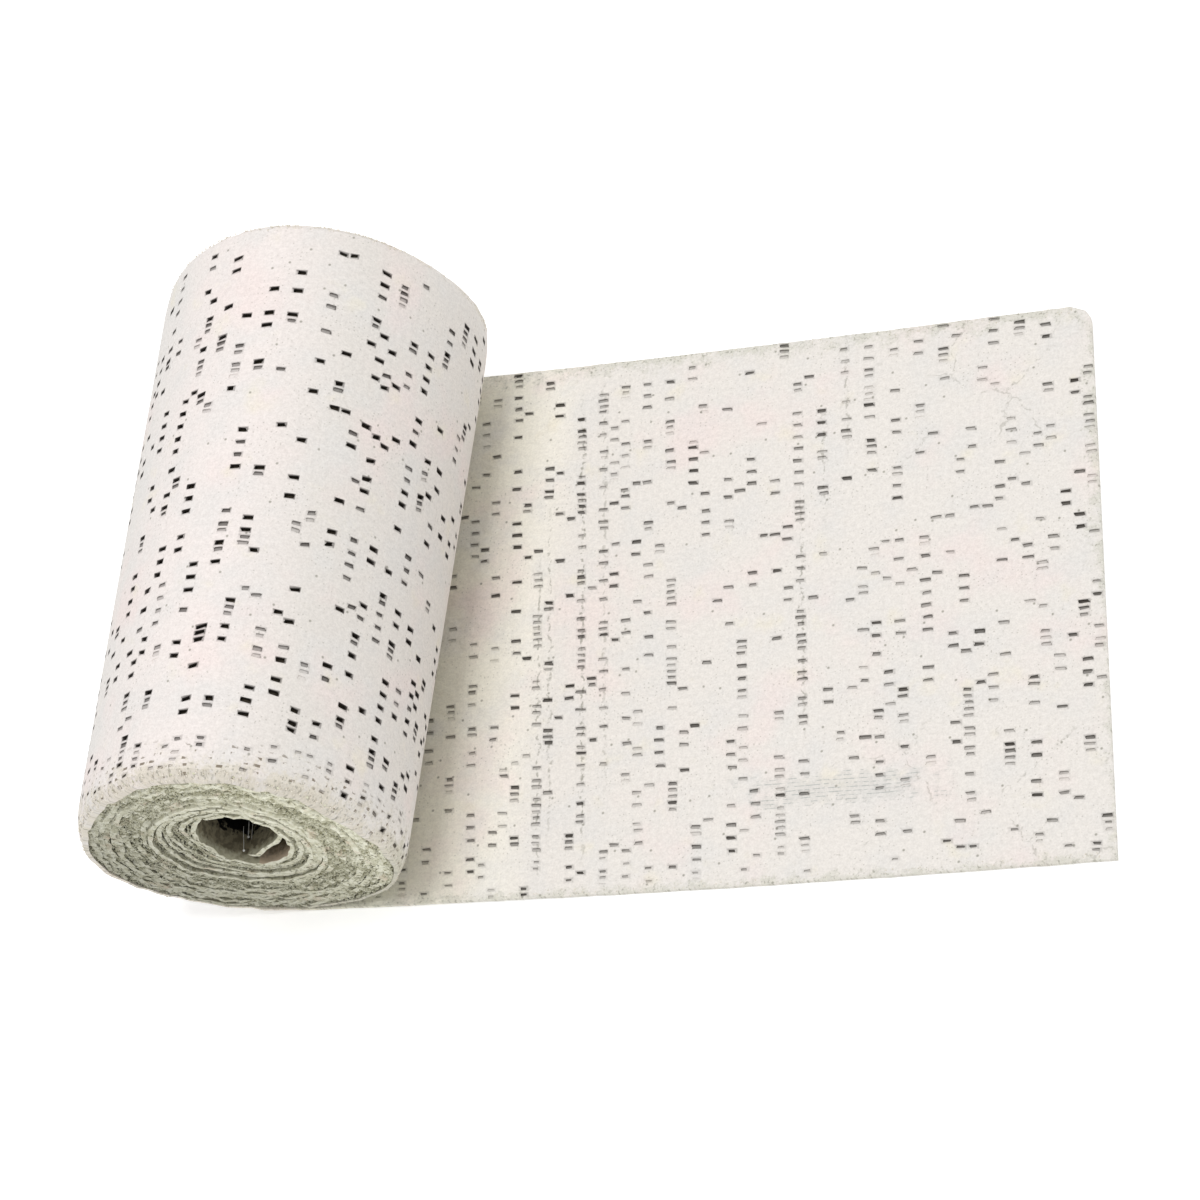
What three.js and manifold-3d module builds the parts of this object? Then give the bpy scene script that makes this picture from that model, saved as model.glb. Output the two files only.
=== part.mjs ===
// Plaster bandage roll: a wound strip of plaster-coated gauze with its loose end laid out flat.
// Millimetres, +Z up. The roll's axis runs along Y and the loose end lies towards +X.

import * as THREE from "three";
import { mergeVertices } from "three/addons/utils/BufferGeometryUtils.js";
import Module from "manifold-3d";

// Strip
const STRIP_WIDTH = 99.8;
const SHEET_THICKNESS = 1.0;
const GAP = 0.3;

// Roll section: a round leaning outline about its own centre, with a flat spot where it rests
const ROLL_CENTRE_X = -1.5;
const ROLL_CENTRE_Z = 26.75;
const RADIUS_NEAR = 27.05;
const RADIUS_FAR = 27.65;
const LEAN = 0.85;
const OVAL = 0.05;
const OVAL_TURNED = 0.62;
const THREE_LOBE = -0.76;
const THREE_LOBE_TURNED = -0.54;

// Fuller lower right side, towards the far end
const BULGE_HEIGHT = 0.8;
const BULGE_ANGLE = (332 * Math.PI) / 180;
const BULGE_WIDTH = (32 * Math.PI) / 180;

// Shoulders: the outline draws in over the last few millimetres at each end
const SHOULDER_LENGTH = 5;
const SHOULDER_NEAR = 0.78;
const SHOULDER_NEAR_OVAL = 0.62;
const SHOULDER_NEAR_LEAN = 0.4;
const SHOULDER_FAR = 0.5;

// Core hole, left open by the innermost turn, and the flap that the strip's inner end makes in it
const CORE_CENTRE_X = 1.7;
const CORE_CENTRE_Z = 29.5;
const CORE_HALF_WIDTH = 7.2;
const CORE_HALF_HEIGHT = 8.7;
const CORE_RIPPLE = 0.02;
const CORE_LOBES = 3;
const CORE_LOBES_TURNED = 0.8;
const FLAP_THICKNESS = 1.0;
const FLAP_START = [10.2, 29.7];
const FLAP_SAG = [4.6, 24.4];
const FLAP_TIP = [-0.6, 22.0];
const FLAP_SETBACK = 0.6;

// Ends of the roll: the near end leans back at its foot, and the coils stand a little in and out
const FOOT_SETBACK = 1.2;
const FOOT_HEIGHT = 22;
const COIL_RELIEF = 0.5;
const COIL_RIDGES = 4.5;
const CORE_DISH = 0.7;
const CORE_DISH_REACH = 0.25;

// Nip, where the outer turn leaves the roll and becomes the loose end
const NIP_X = 2;
const SPARE = 10;

// Loose end
const LOOSE_NEAR_X = 137.35;
const END_SKEW = 0.105;
const NEAR_EDGE_Y = -1.25;
const FAR_EDGE_Y = 98.15;
const NEAR_EDGE_BOW = 2.3;
const FAR_EDGE_BOW = 2.3;
const CORNER_RADIUS = 3.5;

// Mesh steps
const ANGLE_STEPS = 84;
const COIL_STEPS = 20;
const ROLL_ROWS = [1.2, 2.8, 5, 35, 65, -5, -2.8, -1.2];
const CORE_ROWS = 2;
const FLAP_STEPS = 8;
const LOOSE_STEPS_X = 26;
const LOOSE_STEPS_Y = 12;
const CORNER_STEPS = 3;
const MERGE_REACH = 1e-4;

// Finish
const WOUND_COLOUR = "#dfddd2";
const LOOSE_COLOUR = "#ece8e1";
const GAUZE_ROUGHNESS = 0.95;

const wasm = await Module();
wasm.setup();
const { Manifold, Mesh } = wasm;

const mix = (a, b, t) => a + (b - a) * t;

// How much the outline has drawn in at an angle and a place along the axis
function shoulder(angle, y) {
  const nearDrop =
    SHOULDER_NEAR +
    SHOULDER_NEAR_OVAL * Math.cos(2 * angle) +
    SHOULDER_NEAR_LEAN * Math.cos(angle);
  const nearness = Math.max(0, 1 - y / SHOULDER_LENGTH);
  const farness = Math.max(0, 1 - (STRIP_WIDTH - y) / SHOULDER_LENGTH);
  return nearDrop * nearness ** 2 + SHOULDER_FAR * farness ** 2;
}

// Outer outline of the roll's section at an angle, for a place along the axis
function rollOutline(angle, y) {
  const along = y / STRIP_WIDTH;
  const offAngle = Math.atan2(Math.sin(angle - BULGE_ANGLE), Math.cos(angle - BULGE_ANGLE));
  const bulge = BULGE_HEIGHT * along * Math.exp(-((offAngle / BULGE_WIDTH) ** 2));
  const radius =
    mix(RADIUS_NEAR, RADIUS_FAR, along) +
    LEAN * Math.cos(angle) +
    OVAL * Math.cos(2 * angle) +
    OVAL_TURNED * Math.sin(2 * angle) +
    THREE_LOBE * Math.cos(3 * angle) +
    THREE_LOBE_TURNED * Math.sin(3 * angle) +
    bulge -
    shoulder(angle, y);
  const x = ROLL_CENTRE_X + radius * Math.cos(angle);
  const z = ROLL_CENTRE_Z + radius * Math.sin(angle);
  return [x, Math.max(z, 0)];
}

// Outline of the core hole at an angle
function coreOutline(angle) {
  const ripple = 1 + CORE_RIPPLE * Math.sin(CORE_LOBES * angle + CORE_LOBES_TURNED);
  return [
    CORE_CENTRE_X + CORE_HALF_WIDTH * ripple * Math.cos(angle),
    CORE_CENTRE_Z + CORE_HALF_HEIGHT * ripple * Math.sin(angle),
  ];
}

// How far a point of an end face stands in from the plain end, by its height and place in the coils
function endSetback(angle, outward, height) {
  const foot = FOOT_SETBACK * Math.max(0, 1 - height / FOOT_HEIGHT);
  const phase = COIL_RIDGES * outward - angle / (2 * Math.PI);
  const fade = Math.sin(Math.PI * outward);
  const coils = COIL_RELIEF * fade * Math.cos(2 * Math.PI * phase);
  const dish = CORE_DISH * Math.max(0, 1 - outward / CORE_DISH_REACH);
  return { foot, relief: coils + dish };
}

// Point of the roll's skin: outward runs from the core hole (0) to the outside (1)
function sectionPoint(angle, outward, y) {
  const [cx, cz] = coreOutline(angle);
  const [ox, oz] = rollOutline(angle, y);
  return [mix(cx, ox, outward), mix(cz, oz, outward)];
}

// Point of an end face: end is 0 for the near end and 1 for the far end
function endPoint(angle, outward, end) {
  const [x, z] = sectionPoint(angle, outward, end * STRIP_WIDTH);
  const { foot, relief } = endSetback(angle, outward, z);
  const inward = end === 0 ? 1 : -1;
  return [x, end * STRIP_WIDTH + foot + inward * relief, z];
}

// The loop of skin points at one angle: near end outwards, the outside, far end inwards, the core
function skinLoop(angle) {
  const loop = [];
  for (let j = 0; j <= COIL_STEPS; j += 1) {
    loop.push(endPoint(angle, j / COIL_STEPS, 0));
  }
  for (const row of ROLL_ROWS) {
    const y = row < 0 ? STRIP_WIDTH + row : row;
    const [x, z] = rollOutline(angle, y);
    loop.push([x, y + endSetback(angle, 1, z).foot, z]);
  }
  for (let j = COIL_STEPS; j >= 0; j -= 1) {
    loop.push(endPoint(angle, j / COIL_STEPS, 1));
  }
  const farCore = endPoint(angle, 0, 1);
  const nearCore = endPoint(angle, 0, 0);
  for (let j = 1; j < CORE_ROWS; j += 1) {
    const t = j / CORE_ROWS;
    loop.push([farCore[0], mix(farCore[1], nearCore[1], t), farCore[2]]);
  }
  return loop;
}

// A solid from a closed grid of points, turned so that its faces look outwards
function solidOf(points, triangles) {
  let volume = 0;
  const at = (i) => new THREE.Vector3(...points[i]);
  for (const [a, b, c] of triangles) {
    volume += at(a).dot(at(b).cross(at(c)));
  }
  const turned = volume < 0 ? triangles.map(([a, b, c]) => [a, c, b]) : triangles;
  return new Manifold(
    new Mesh({
      numProp: 3,
      vertProperties: new Float32Array(points.flat()),
      triVerts: new Uint32Array(turned.flat()),
    }),
  );
}

// The wound ring: the skin loop carried round all the angles
function ringSolid() {
  const points = [];
  const triangles = [];
  const size = skinLoop(0).length;
  for (let i = 0; i < ANGLE_STEPS; i += 1) {
    points.push(...skinLoop((2 * Math.PI * i) / ANGLE_STEPS));
  }
  for (let i = 0; i < ANGLE_STEPS; i += 1) {
    const next = (i + 1) % ANGLE_STEPS;
    for (let j = 0; j < size; j += 1) {
      const k = (j + 1) % size;
      const a = i * size + j;
      const b = next * size + j;
      const c = next * size + k;
      const d = i * size + k;
      triangles.push([a, b, c], [a, c, d]);
    }
  }
  return solidOf(points, triangles);
}

// A three.js geometry as a solid, its shared vertices merged
function mergedSolid(geometry) {
  geometry.deleteAttribute("normal");
  geometry.deleteAttribute("uv");
  const merged = mergeVertices(geometry, MERGE_REACH);
  return new Manifold(
    new Mesh({
      numProp: 3,
      vertProperties: merged.getAttribute("position").array,
      triVerts: new Uint32Array(merged.getIndex().array),
    }),
  );
}

// A prism of a closed outline in X and Z, from one Y to another
function prism(outline, from, to) {
  const shape = new THREE.Shape(outline.map(([x, z]) => new THREE.Vector2(x, z)));
  const geometry = new THREE.ExtrudeGeometry(shape, { depth: to - from, bevelEnabled: false });
  geometry.rotateX(Math.PI / 2);
  geometry.translate(0, to, 0);
  return mergedSolid(geometry);
}

// The flap: the strip's inner end, sagging across the lower right of the core hole
function flapSolid() {
  const line = new THREE.QuadraticBezierCurve(
    new THREE.Vector2(...FLAP_START),
    new THREE.Vector2(...FLAP_SAG),
    new THREE.Vector2(...FLAP_TIP),
  );
  const upper = [];
  const lower = [];
  for (let i = 0; i <= FLAP_STEPS; i += 1) {
    const at = line.getPoint(i / FLAP_STEPS);
    const along = line.getTangent(i / FLAP_STEPS);
    const half = FLAP_THICKNESS / 2;
    upper.push([at.x - along.y * half, at.y + along.x * half]);
    lower.unshift([at.x + along.y * half, at.y - along.x * half]);
  }
  return prism([...lower, ...upper], FOOT_SETBACK + FLAP_SETBACK, STRIP_WIDTH - FLAP_SETBACK);
}

// The room under the roll that the loose end lies in, from the nip on
function nipSolid() {
  const top = SHEET_THICKNESS + GAP;
  const beyond = NIP_X + 2 * RADIUS_FAR;
  const outline = [
    [NIP_X, -SPARE],
    [beyond, -SPARE],
    [beyond, top],
    [NIP_X, top],
  ];
  return prism(outline, -SPARE, STRIP_WIDTH + SPARE);
}

// A solid as a three.js geometry with flat-shaded faces
function geometryOf(solid) {
  const mesh = solid.getMesh();
  const geometry = new THREE.BufferGeometry();
  geometry.setAttribute("position", new THREE.BufferAttribute(mesh.vertProperties, mesh.numProp));
  geometry.setIndex(new THREE.BufferAttribute(mesh.triVerts, 1));
  const faceted = geometry.toNonIndexed();
  faceted.computeVertexNormals();
  return faceted;
}

// Plan of the loose end: u runs from the nip to the free end, v from the near edge to the far edge
function loosePlan(u, v) {
  const start = NIP_X + GAP;
  const spread = (x) => ((LOOSE_NEAR_X - x) / LOOSE_NEAR_X) ** 2;
  const endX = LOOSE_NEAR_X - END_SKEW * v * (FAR_EDGE_Y - NEAR_EDGE_Y);
  let x = mix(start, endX, u);
  const near = NEAR_EDGE_Y + NEAR_EDGE_BOW * spread(x);
  const far = FAR_EDGE_Y + FAR_EDGE_BOW * spread(x);
  const y = mix(near, far, v);
  // The far corner of the free end is rounded
  const fromEnd = CORNER_RADIUS - (far - y);
  if (fromEnd > 0) {
    const bite = CORNER_RADIUS - Math.sqrt(CORNER_RADIUS ** 2 - fromEnd ** 2);
    x = mix(start, endX - bite, u);
  }
  return [x, y];
}

// The loose end: a flat sheet with its bowed edges and its skewed cut end
function looseSolid() {
  const points = [];
  const triangles = [];
  const across = LOOSE_STEPS_Y + 1;
  const layer = (LOOSE_STEPS_X + 1) * across;
  const acrossAt = (j) => {
    const plain = LOOSE_STEPS_Y - CORNER_STEPS;
    const last = 1 - CORNER_RADIUS / STRIP_WIDTH;
    return j <= plain ? (last * j) / plain : mix(last, 1, (j - plain) / CORNER_STEPS);
  };
  for (const z of [0, SHEET_THICKNESS]) {
    for (let i = 0; i <= LOOSE_STEPS_X; i += 1) {
      for (let j = 0; j <= LOOSE_STEPS_Y; j += 1) {
        points.push([...loosePlan(i / LOOSE_STEPS_X, acrossAt(j)), z]);
      }
    }
  }
  const at = (i, j, top) => top * layer + i * across + j;
  const quad = (a, b, c, d) => triangles.push([a, b, c], [a, c, d]);
  for (let i = 0; i < LOOSE_STEPS_X; i += 1) {
    for (let j = 0; j < LOOSE_STEPS_Y; j += 1) {
      quad(at(i, j, 1), at(i + 1, j, 1), at(i + 1, j + 1, 1), at(i, j + 1, 1));
      quad(at(i, j, 0), at(i, j + 1, 0), at(i + 1, j + 1, 0), at(i + 1, j, 0));
    }
    const last = LOOSE_STEPS_Y;
    quad(at(i, 0, 0), at(i + 1, 0, 0), at(i + 1, 0, 1), at(i, 0, 1));
    quad(at(i, last, 1), at(i + 1, last, 1), at(i + 1, last, 0), at(i, last, 0));
  }
  for (let j = 0; j < LOOSE_STEPS_Y; j += 1) {
    const last = LOOSE_STEPS_X;
    quad(at(0, j, 1), at(0, j + 1, 1), at(0, j + 1, 0), at(0, j, 0));
    quad(at(last, j, 0), at(last, j + 1, 0), at(last, j + 1, 1), at(last, j, 1));
  }
  return solidOf(points, triangles);
}

// A node of the part with a finish of its own
function named(name, geometry, color) {
  const mesh = new THREE.Mesh(
    geometry,
    new THREE.MeshStandardMaterial({ color, roughness: GAUZE_ROUGHNESS, metalness: 0 }),
  );
  mesh.name = name;
  return mesh;
}

const root = new THREE.Group();
const roll = ringSolid().add(flapSolid()).subtract(nipSolid());
root.add(named("wound_roll", geometryOf(roll), WOUND_COLOUR));
root.add(named("loose_end", geometryOf(looseSolid()), LOOSE_COLOUR));

// The origin is under the middle of the whole, on the surface that it rests on
const bounds = new THREE.Box3().setFromObject(root);
const middle = bounds.getCenter(new THREE.Vector3());
root.position.set(-middle.x, -middle.y, -bounds.min.z);

export default root;
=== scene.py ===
"""Plaster bandage roll: the wound strip of plaster-coated gauze, its open weave and its loose end.

Sizes are in millimetres until a mesh is made. The section plane is X and Z, and the roll's axis is Y.
"""

import enum
import logging
import math
from dataclasses import dataclass, field
from typing import Any, Sequence

import bpy
import numpy as np
from mathutils import Matrix, Vector


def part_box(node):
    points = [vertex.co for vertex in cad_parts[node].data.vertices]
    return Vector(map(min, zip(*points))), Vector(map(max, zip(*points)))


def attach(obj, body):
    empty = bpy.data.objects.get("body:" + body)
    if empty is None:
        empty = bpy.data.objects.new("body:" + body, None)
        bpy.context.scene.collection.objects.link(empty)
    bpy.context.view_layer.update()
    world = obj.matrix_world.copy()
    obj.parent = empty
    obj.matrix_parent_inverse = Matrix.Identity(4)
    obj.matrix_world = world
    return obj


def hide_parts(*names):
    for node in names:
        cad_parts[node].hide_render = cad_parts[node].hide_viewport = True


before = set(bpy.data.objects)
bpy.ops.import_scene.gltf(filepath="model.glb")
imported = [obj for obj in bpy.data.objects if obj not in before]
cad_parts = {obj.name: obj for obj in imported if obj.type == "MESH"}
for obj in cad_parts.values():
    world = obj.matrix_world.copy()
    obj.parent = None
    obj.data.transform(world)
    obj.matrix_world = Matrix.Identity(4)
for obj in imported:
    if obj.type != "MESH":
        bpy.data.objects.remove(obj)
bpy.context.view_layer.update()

logging.basicConfig(level=logging.INFO, format="%(message)s")
log = logging.getLogger("plaster_bandage")

MM = 0.001
ROLL_NODE = "wound_roll"
LOOSE_NODE = "loose_end"
BODY = "root"
STRIP_UV = "strip"
WEAVE_UV = "weave"
# Corner attribute of painted shade: it darkens colours towards the hollows' dark colours
SHADE = "shade"
MATH = "ShaderNodeMath"
VECTOR_MATH = "ShaderNodeVectorMath"
MAP_RANGE = "ShaderNodeMapRange"
MIX = "ShaderNodeMix"
SEPARATE = "ShaderNodeSeparateXYZ"
NOISE = "ShaderNodeTexNoise"
VORONOI = "ShaderNodeTexVoronoi"
CHALKY_ROUGHNESS = 0.95
BOTTOM = math.radians(270)
# The strip's width as its UV has it, in mm
ACROSS = 100.0
# Step in mm from one random set of patches to the next
PATCH_SET_STEP = (31.7, 17.3, 0.0)
# X that stands for a weave column on the roll, and lightness that stands for a closed cell
ON_ROLL = -1e6
CLOSED = 2.0
# Corners of the opening in a weave cell, and knots of a random line
RING = 8
KNOTS = 8192
Array = np.ndarray
Colour = tuple[float, float, float, float]
Tree = bpy.types.NodeTree
Socket = bpy.types.NodeSocket


class Fill(enum.IntEnum):
    """How much plaster a weave cell holds."""

    FULL = 0
    OPEN = 1
    FILM = 2


class Lining(enum.IntEnum):
    """What a face of the wound turns shows, as its material's number."""

    RIM = 0
    # Painted shade: dark gauze in the gaps between the turns
    HIDDEN = 1
    CORE = 2
    POCKET = 3


def hex_to_linear(code: str) -> Colour:
    """Turn an sRGB hex colour into linear RGBA.

    Args:
        code: six hex digits.

    Returns:
        The linear colour with alpha 1.
    """
    values = [int(code[k : k + 2], 16) / 255 for k in (0, 2, 4)]
    linear = [c / 12.92 if c <= 0.04045 else ((c + 0.055) / 1.055) ** 2.4 for c in values]
    return (linear[0], linear[1], linear[2], 1.0)


def add_node(
    tree: Tree, kind: str, inputs: Sequence[Any] | dict[str, Any] = (), **settings: Any
) -> Socket | None:
    """Add a node, set its properties, and set or link its inputs.

    Args:
        tree: the node tree to add to.
        kind: the node's type name.
        inputs: values or output sockets, by the inputs' names or in the order of the inputs in use.
        settings: properties of the node by name.

    Returns:
        The node's first output in use, or nothing if it has none.
    """
    node = tree.nodes.new(kind)
    for name, value in settings.items():
        setattr(node, name, value)
    in_use = [socket for socket in node.inputs if socket.enabled]
    for key, value in inputs.items() if isinstance(inputs, dict) else enumerate(inputs):
        socket = in_use[key] if isinstance(key, int) else node.inputs[key]
        if isinstance(value, Socket):
            tree.links.new(value, socket)
        else:
            socket.default_value = value
    return next((output for output in node.outputs if output.enabled), None)


def linked(name: str, mesh: bpy.types.Mesh) -> bpy.types.Object:
    """Make an object of a mesh and link it to the scene."""
    thing = bpy.data.objects.new(name, mesh)
    bpy.context.scene.collection.objects.link(thing)
    return thing


def mix(a: Any, b: Any, t: Any) -> Any:
    """Linear blend from a to b."""
    return a + (b - a) * t


def smooth(t: Any) -> Any:
    """Smooth step of t, held to 0 and 1 outside them."""
    t = np.clip(t, 0.0, 1.0)
    return t * t * (3.0 - 2.0 * t)


def wander(at: Array, wavelength: float, seed: int) -> Array:
    """Smooth random line from -1 to 1.

    Args:
        at: places along the line, in mm.
        wavelength: distance between its random knots, in mm.
        seed: which random line.

    Returns:
        The line's values at those places.
    """
    knots = np.random.default_rng(seed).uniform(-1, 1, KNOTS)
    t = np.asarray(at, float) / wavelength + KNOTS // 2
    i = np.floor(t).astype(int)
    return mix(knots[i % KNOTS], knots[(i + 1) % KNOTS], smooth(t - i))


def angle_between(a: Array, b: float) -> Array:
    """Difference of two angles, wrapped to half a turn either way."""
    return np.arctan2(np.sin(a - b), np.cos(a - b))


@dataclass(frozen=True)
class RollSection:
    """The roll's leaning round outline and the outline of its core hole."""

    width: float = 99.8
    centre_x: float = -1.5
    centre_z: float = 26.75
    radius_near: float = 27.05
    radius_far: float = 27.65
    lean: float = 0.85
    oval: float = 0.05
    oval_turned: float = 0.62
    three_lobe: float = -0.76
    three_lobe_turned: float = -0.54
    bulge_height: float = 0.8
    bulge_angle: float = math.radians(332)
    bulge_width: float = math.radians(32)
    shoulder_length: float = 5.0
    shoulder_near: float = 0.78
    shoulder_near_oval: float = 0.62
    shoulder_near_lean: float = 0.4
    shoulder_far: float = 0.5
    lip_drop: float = 0.95
    lip_length: float = 1.0
    lip_angle: float = math.radians(82)
    core_x: float = 1.7
    core_z: float = 29.5
    core_half_width: float = 7.2
    core_half_height: float = 8.7
    core_ripple: float = 0.02

    def shoulder(self, angle: Array, y: Array) -> Array:
        """How far the outline has drawn in near an end.

        Args:
            angle: angles about the section's centre, in radians.
            y: places along the axis, in mm.

        Returns:
            The distances, in mm.
        """
        drop = (
            self.shoulder_near
            + self.shoulder_near_oval * np.cos(2 * angle)
            + self.shoulder_near_lean * np.cos(angle)
        )
        near = np.clip(1 - y / self.shoulder_length, 0, 1.3)
        far = np.clip(1 - (self.width - y) / self.shoulder_length, 0, 1.3)
        lip = np.clip(1 - y / self.lip_length, 0, 1.4) ** 2
        lip = lip + np.clip(1 - (self.width - y) / self.lip_length, 0, 1.4) ** 2
        lip = lip * self.lip_drop * np.clip(np.cos(angle - self.lip_angle), 0, 1)
        return drop * near**2 + self.shoulder_far * far**2 + lip

    def outer(self, angle: Array, y: Array) -> tuple[Array, Array]:
        """The outline at an angle and a place along the axis.

        Args:
            angle: angles about the section's centre, in radians.
            y: places along the axis, in mm.

        Returns:
            X and Z of the outline.
        """
        along = y / self.width
        off = angle_between(angle, self.bulge_angle)
        radius = (
            mix(self.radius_near, self.radius_far, along)
            + self.lean * np.cos(angle)
            + self.oval * np.cos(2 * angle)
            + self.oval_turned * np.sin(2 * angle)
            + self.three_lobe * np.cos(3 * angle)
            + self.three_lobe_turned * np.sin(3 * angle)
            + self.bulge_height * along * np.exp(-((off / self.bulge_width) ** 2))
            - self.shoulder(angle, y)
        )
        x = self.centre_x + radius * np.cos(angle)
        z = self.centre_z + radius * np.sin(angle)
        return x, np.maximum(z, 0)

    def core(self, angle: Array) -> tuple[Array, Array]:
        """The core hole's outline at an angle.

        Args:
            angle: angles about the section's centre, in radians.

        Returns:
            X and Z of the outline.
        """
        ripple = 1 + self.core_ripple * np.sin(3 * angle + 0.8)
        x = self.core_x + self.core_half_width * ripple * np.cos(angle)
        z = self.core_z + self.core_half_height * ripple * np.sin(angle)
        return x, z


@dataclass(frozen=True)
class Slit:
    """A place where two turns stand apart: its angle and reach, the turn inside it, and its opening."""

    angle_deg: float
    reach_deg: float
    turn: float
    opening: float


@dataclass(frozen=True)
class Winding:
    """The spiral of the strip. A winding number counts turns from the core outwards."""

    section: RollSection = field(default_factory=RollSection)
    turns: float = 23.0
    thickness: float = 0.55
    jog_reach: float = 0.3
    jog_fade: float = 7.0
    slits: tuple[Slit, ...] = (
        Slit(146, 24, 1, 1.5),
        Slit(176, 40, 2, 0.4),
        Slit(182, 40, 3, 0.5),
        Slit(186, 40, 4, 0.5),
        Slit(190, 38, 5, 0.5),
        Slit(194, 38, 6, 0.45),
        Slit(60, 40, 7, 0.3),
        Slit(160, 13, 17, 0.5),
        Slit(322, 18, 17, 0.55),
        Slit(316, 15, 19, 0.5),
        Slit(20, 40, 12, 0.3),
    )
    slit_fade: float = 7.0
    flap_angle: float = math.radians(6)

    def angle(self, winding: Array) -> Array:
        """Angle in the section for a winding number: the last turn ends at the bottom."""
        return BOTTOM + 2 * math.pi * (winding - self.turns)

    def depth(self, winding: Array) -> Array:
        """Turns in from the outside, with the outer turns stepping in just past the nip.

        Args:
            winding: winding numbers.

        Returns:
            The number of turns for each.
        """
        whole = np.floor(winding)
        part = winding - whole
        step = 1 - smooth(part / self.jog_reach)
        inner = np.clip((self.turns - 1 - whole) / self.jog_fade, 0, 1)
        return self.turns - 1 - whole + mix(step, 1 - part, inner)

    def spread(self, winding: Array, angle: Array) -> Array:
        """How far outwards the slits push a turn, in mm.

        Args:
            winding: winding numbers.
            angle: angles about the section's centre, in radians.

        Returns:
            The distances, in mm.
        """
        push = np.zeros(np.broadcast(winding, angle).shape)
        for slit in self.slits:
            opposite = ((slit.angle_deg + 180 - 270) % 360) / 360
            count = np.floor(winding - opposite) - (slit.turn - 1)
            off = angle_between(angle, math.radians(slit.angle_deg)) / math.radians(slit.reach_deg)
            fade = np.where(count > 0, np.exp(-(count - 1) / self.slit_fade), 0)
            push = push + slit.opening * np.exp(-(off**2)) * fade
        return push

    def outer_face(self, winding: Array, y: Array) -> tuple[Array, Array]:
        """The strip's outer face in the section plane.

        Args:
            winding: winding numbers.
            y: places along the axis, in mm.

        Returns:
            X and Z of the face.
        """
        angle = self.angle(winding)
        ox, oz = self.section.outer(angle, y)
        cx, cz = self.section.core(angle)
        inward = self.depth(winding) / self.turns
        reach = np.hypot(ox - cx, oz - cz)
        room = np.clip(12 * inward * (1 - inward), 0, 1)
        inward = inward - self.spread(winding, angle) / reach * room
        return mix(ox, cx, inward), mix(oz, cz, inward)


@dataclass(frozen=True)
class StripEdges:
    """Where the strip's two long edges lie, and the slant of its cut end."""

    winding: Winding = field(default_factory=Winding)
    nip_x: float = -1.5
    loose_near_x: float = 137.35
    end_skew: float = 0.105
    near_edge: float = -1.25
    far_edge: float = 98.15
    bow: float = 2.3
    corner_radius: float = 3.5
    foot_setback: float = 1.2
    foot_height: float = 22.0

    def loose(self, x: Array) -> tuple[Array, Array]:
        """Near and far edge of the loose end at X."""
        spread = ((self.loose_near_x - x) / self.loose_near_x) ** 2
        return self.near_edge + self.bow * spread, self.far_edge + self.bow * spread

    def foot(self, height: Array) -> Array:
        """How far the roll's near end leans back at a height."""
        return self.foot_setback * np.clip(1 - height / self.foot_height, 0, 1)

    def end_x(self, across: Array) -> Array:
        """X of the cut end, with its far corner rounded.

        Args:
            across: places across the strip, from 0 at the near edge to 1 at the far edge.

        Returns:
            X of the end, in mm.
        """
        full = self.far_edge - self.near_edge
        inside = np.clip(self.corner_radius - (1 - across) * full, 0, self.corner_radius)
        bite = self.corner_radius - np.sqrt(self.corner_radius**2 - inside**2)
        return self.loose_near_x - self.end_skew * across * full - bite


def frame_shift(edges: StripEdges) -> Array:
    """The step from this script's section frame to the object's frame, found from the loose end's node.

    Args:
        edges: the strip's edges.

    Returns:
        The step, in mm.
    """
    low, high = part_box(LOOSE_NODE)
    return np.array([high.x / MM - edges.loose_near_x, low.y / MM - edges.near_edge, low.z / MM])


@dataclass
class FaceList:
    """Faces being gathered, with a painted shade for each of their corners: 1 is unshaded and 0 is a dark
    hollow.
    """

    faces: list[Sequence[int]] = field(default_factory=list)
    materials: list[int] = field(default_factory=list)
    shades: list[float] = field(default_factory=list)

    def add(self, face: Sequence[int], shade: float | Sequence[float] = 1.0, material: int = 0) -> None:
        """Add a face.

        Args:
            face: its point numbers.
            shade: one painted shade, or one for each corner.
            material: its material number.
        """
        self.faces.append(face)
        self.materials.append(material)
        self.shades.extend([shade] * len(face) if isinstance(shade, float) else shade)

    def add_wall(self, first: int, second: int, step: int, turned: bool) -> None:
        """Close a sheet's edge between its two faces.

        Args:
            first: number of a point on the edge of the outer face.
            second: number of the next one.
            step: step in point numbers from the outer face to the inner one.
            turned: whether the wall looks the other way.
        """
        face = [first, second, second + step, first + step]
        self.add(face[::-1] if turned else face)


@dataclass
class MeshData:
    """Points and strip coordinates in mm, weave coordinates in cells, and the faces."""

    points: Array
    strip: Array
    cells: Array
    gathered: FaceList

    def build(self, name: str, shift: Array, finishes: Sequence[bpy.types.Material]) -> bpy.types.Object:
        """Make the mesh object in the object's frame.

        Args:
            name: the object's name.
            shift: step from the section frame to the object's frame, in mm.
            finishes: the materials that the faces' numbers stand for.

        Returns:
            The object, linked to the scene.
        """
        mesh = bpy.data.meshes.new(name)
        mesh.from_pydata((self.points + shift) * MM, [], self.gathered.faces)
        for finish in finishes:
            mesh.materials.append(finish)
        mesh.polygons.foreach_set("material_index", np.array(self.gathered.materials, np.int32))
        corners = np.empty(len(mesh.loops), np.int32)
        mesh.loops.foreach_get("vertex_index", corners)
        for layer_name, values in ((STRIP_UV, self.strip * MM), (WEAVE_UV, self.cells)):
            layer = mesh.uv_layers.new(name=layer_name)
            layer.uv.foreach_set("vector", values[corners].astype(np.float32).ravel())
        shade = mesh.attributes.new(SHADE, "FLOAT", "CORNER")
        shade.data.foreach_set("value", np.array(self.gathered.shades, np.float32))
        mesh.update()
        return linked(name, mesh)


def triangles_of(thing: bpy.types.Object) -> int:
    """Number of triangles of an object's mesh."""
    return sum(len(p.vertices) - 2 for p in thing.data.polygons)


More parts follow.
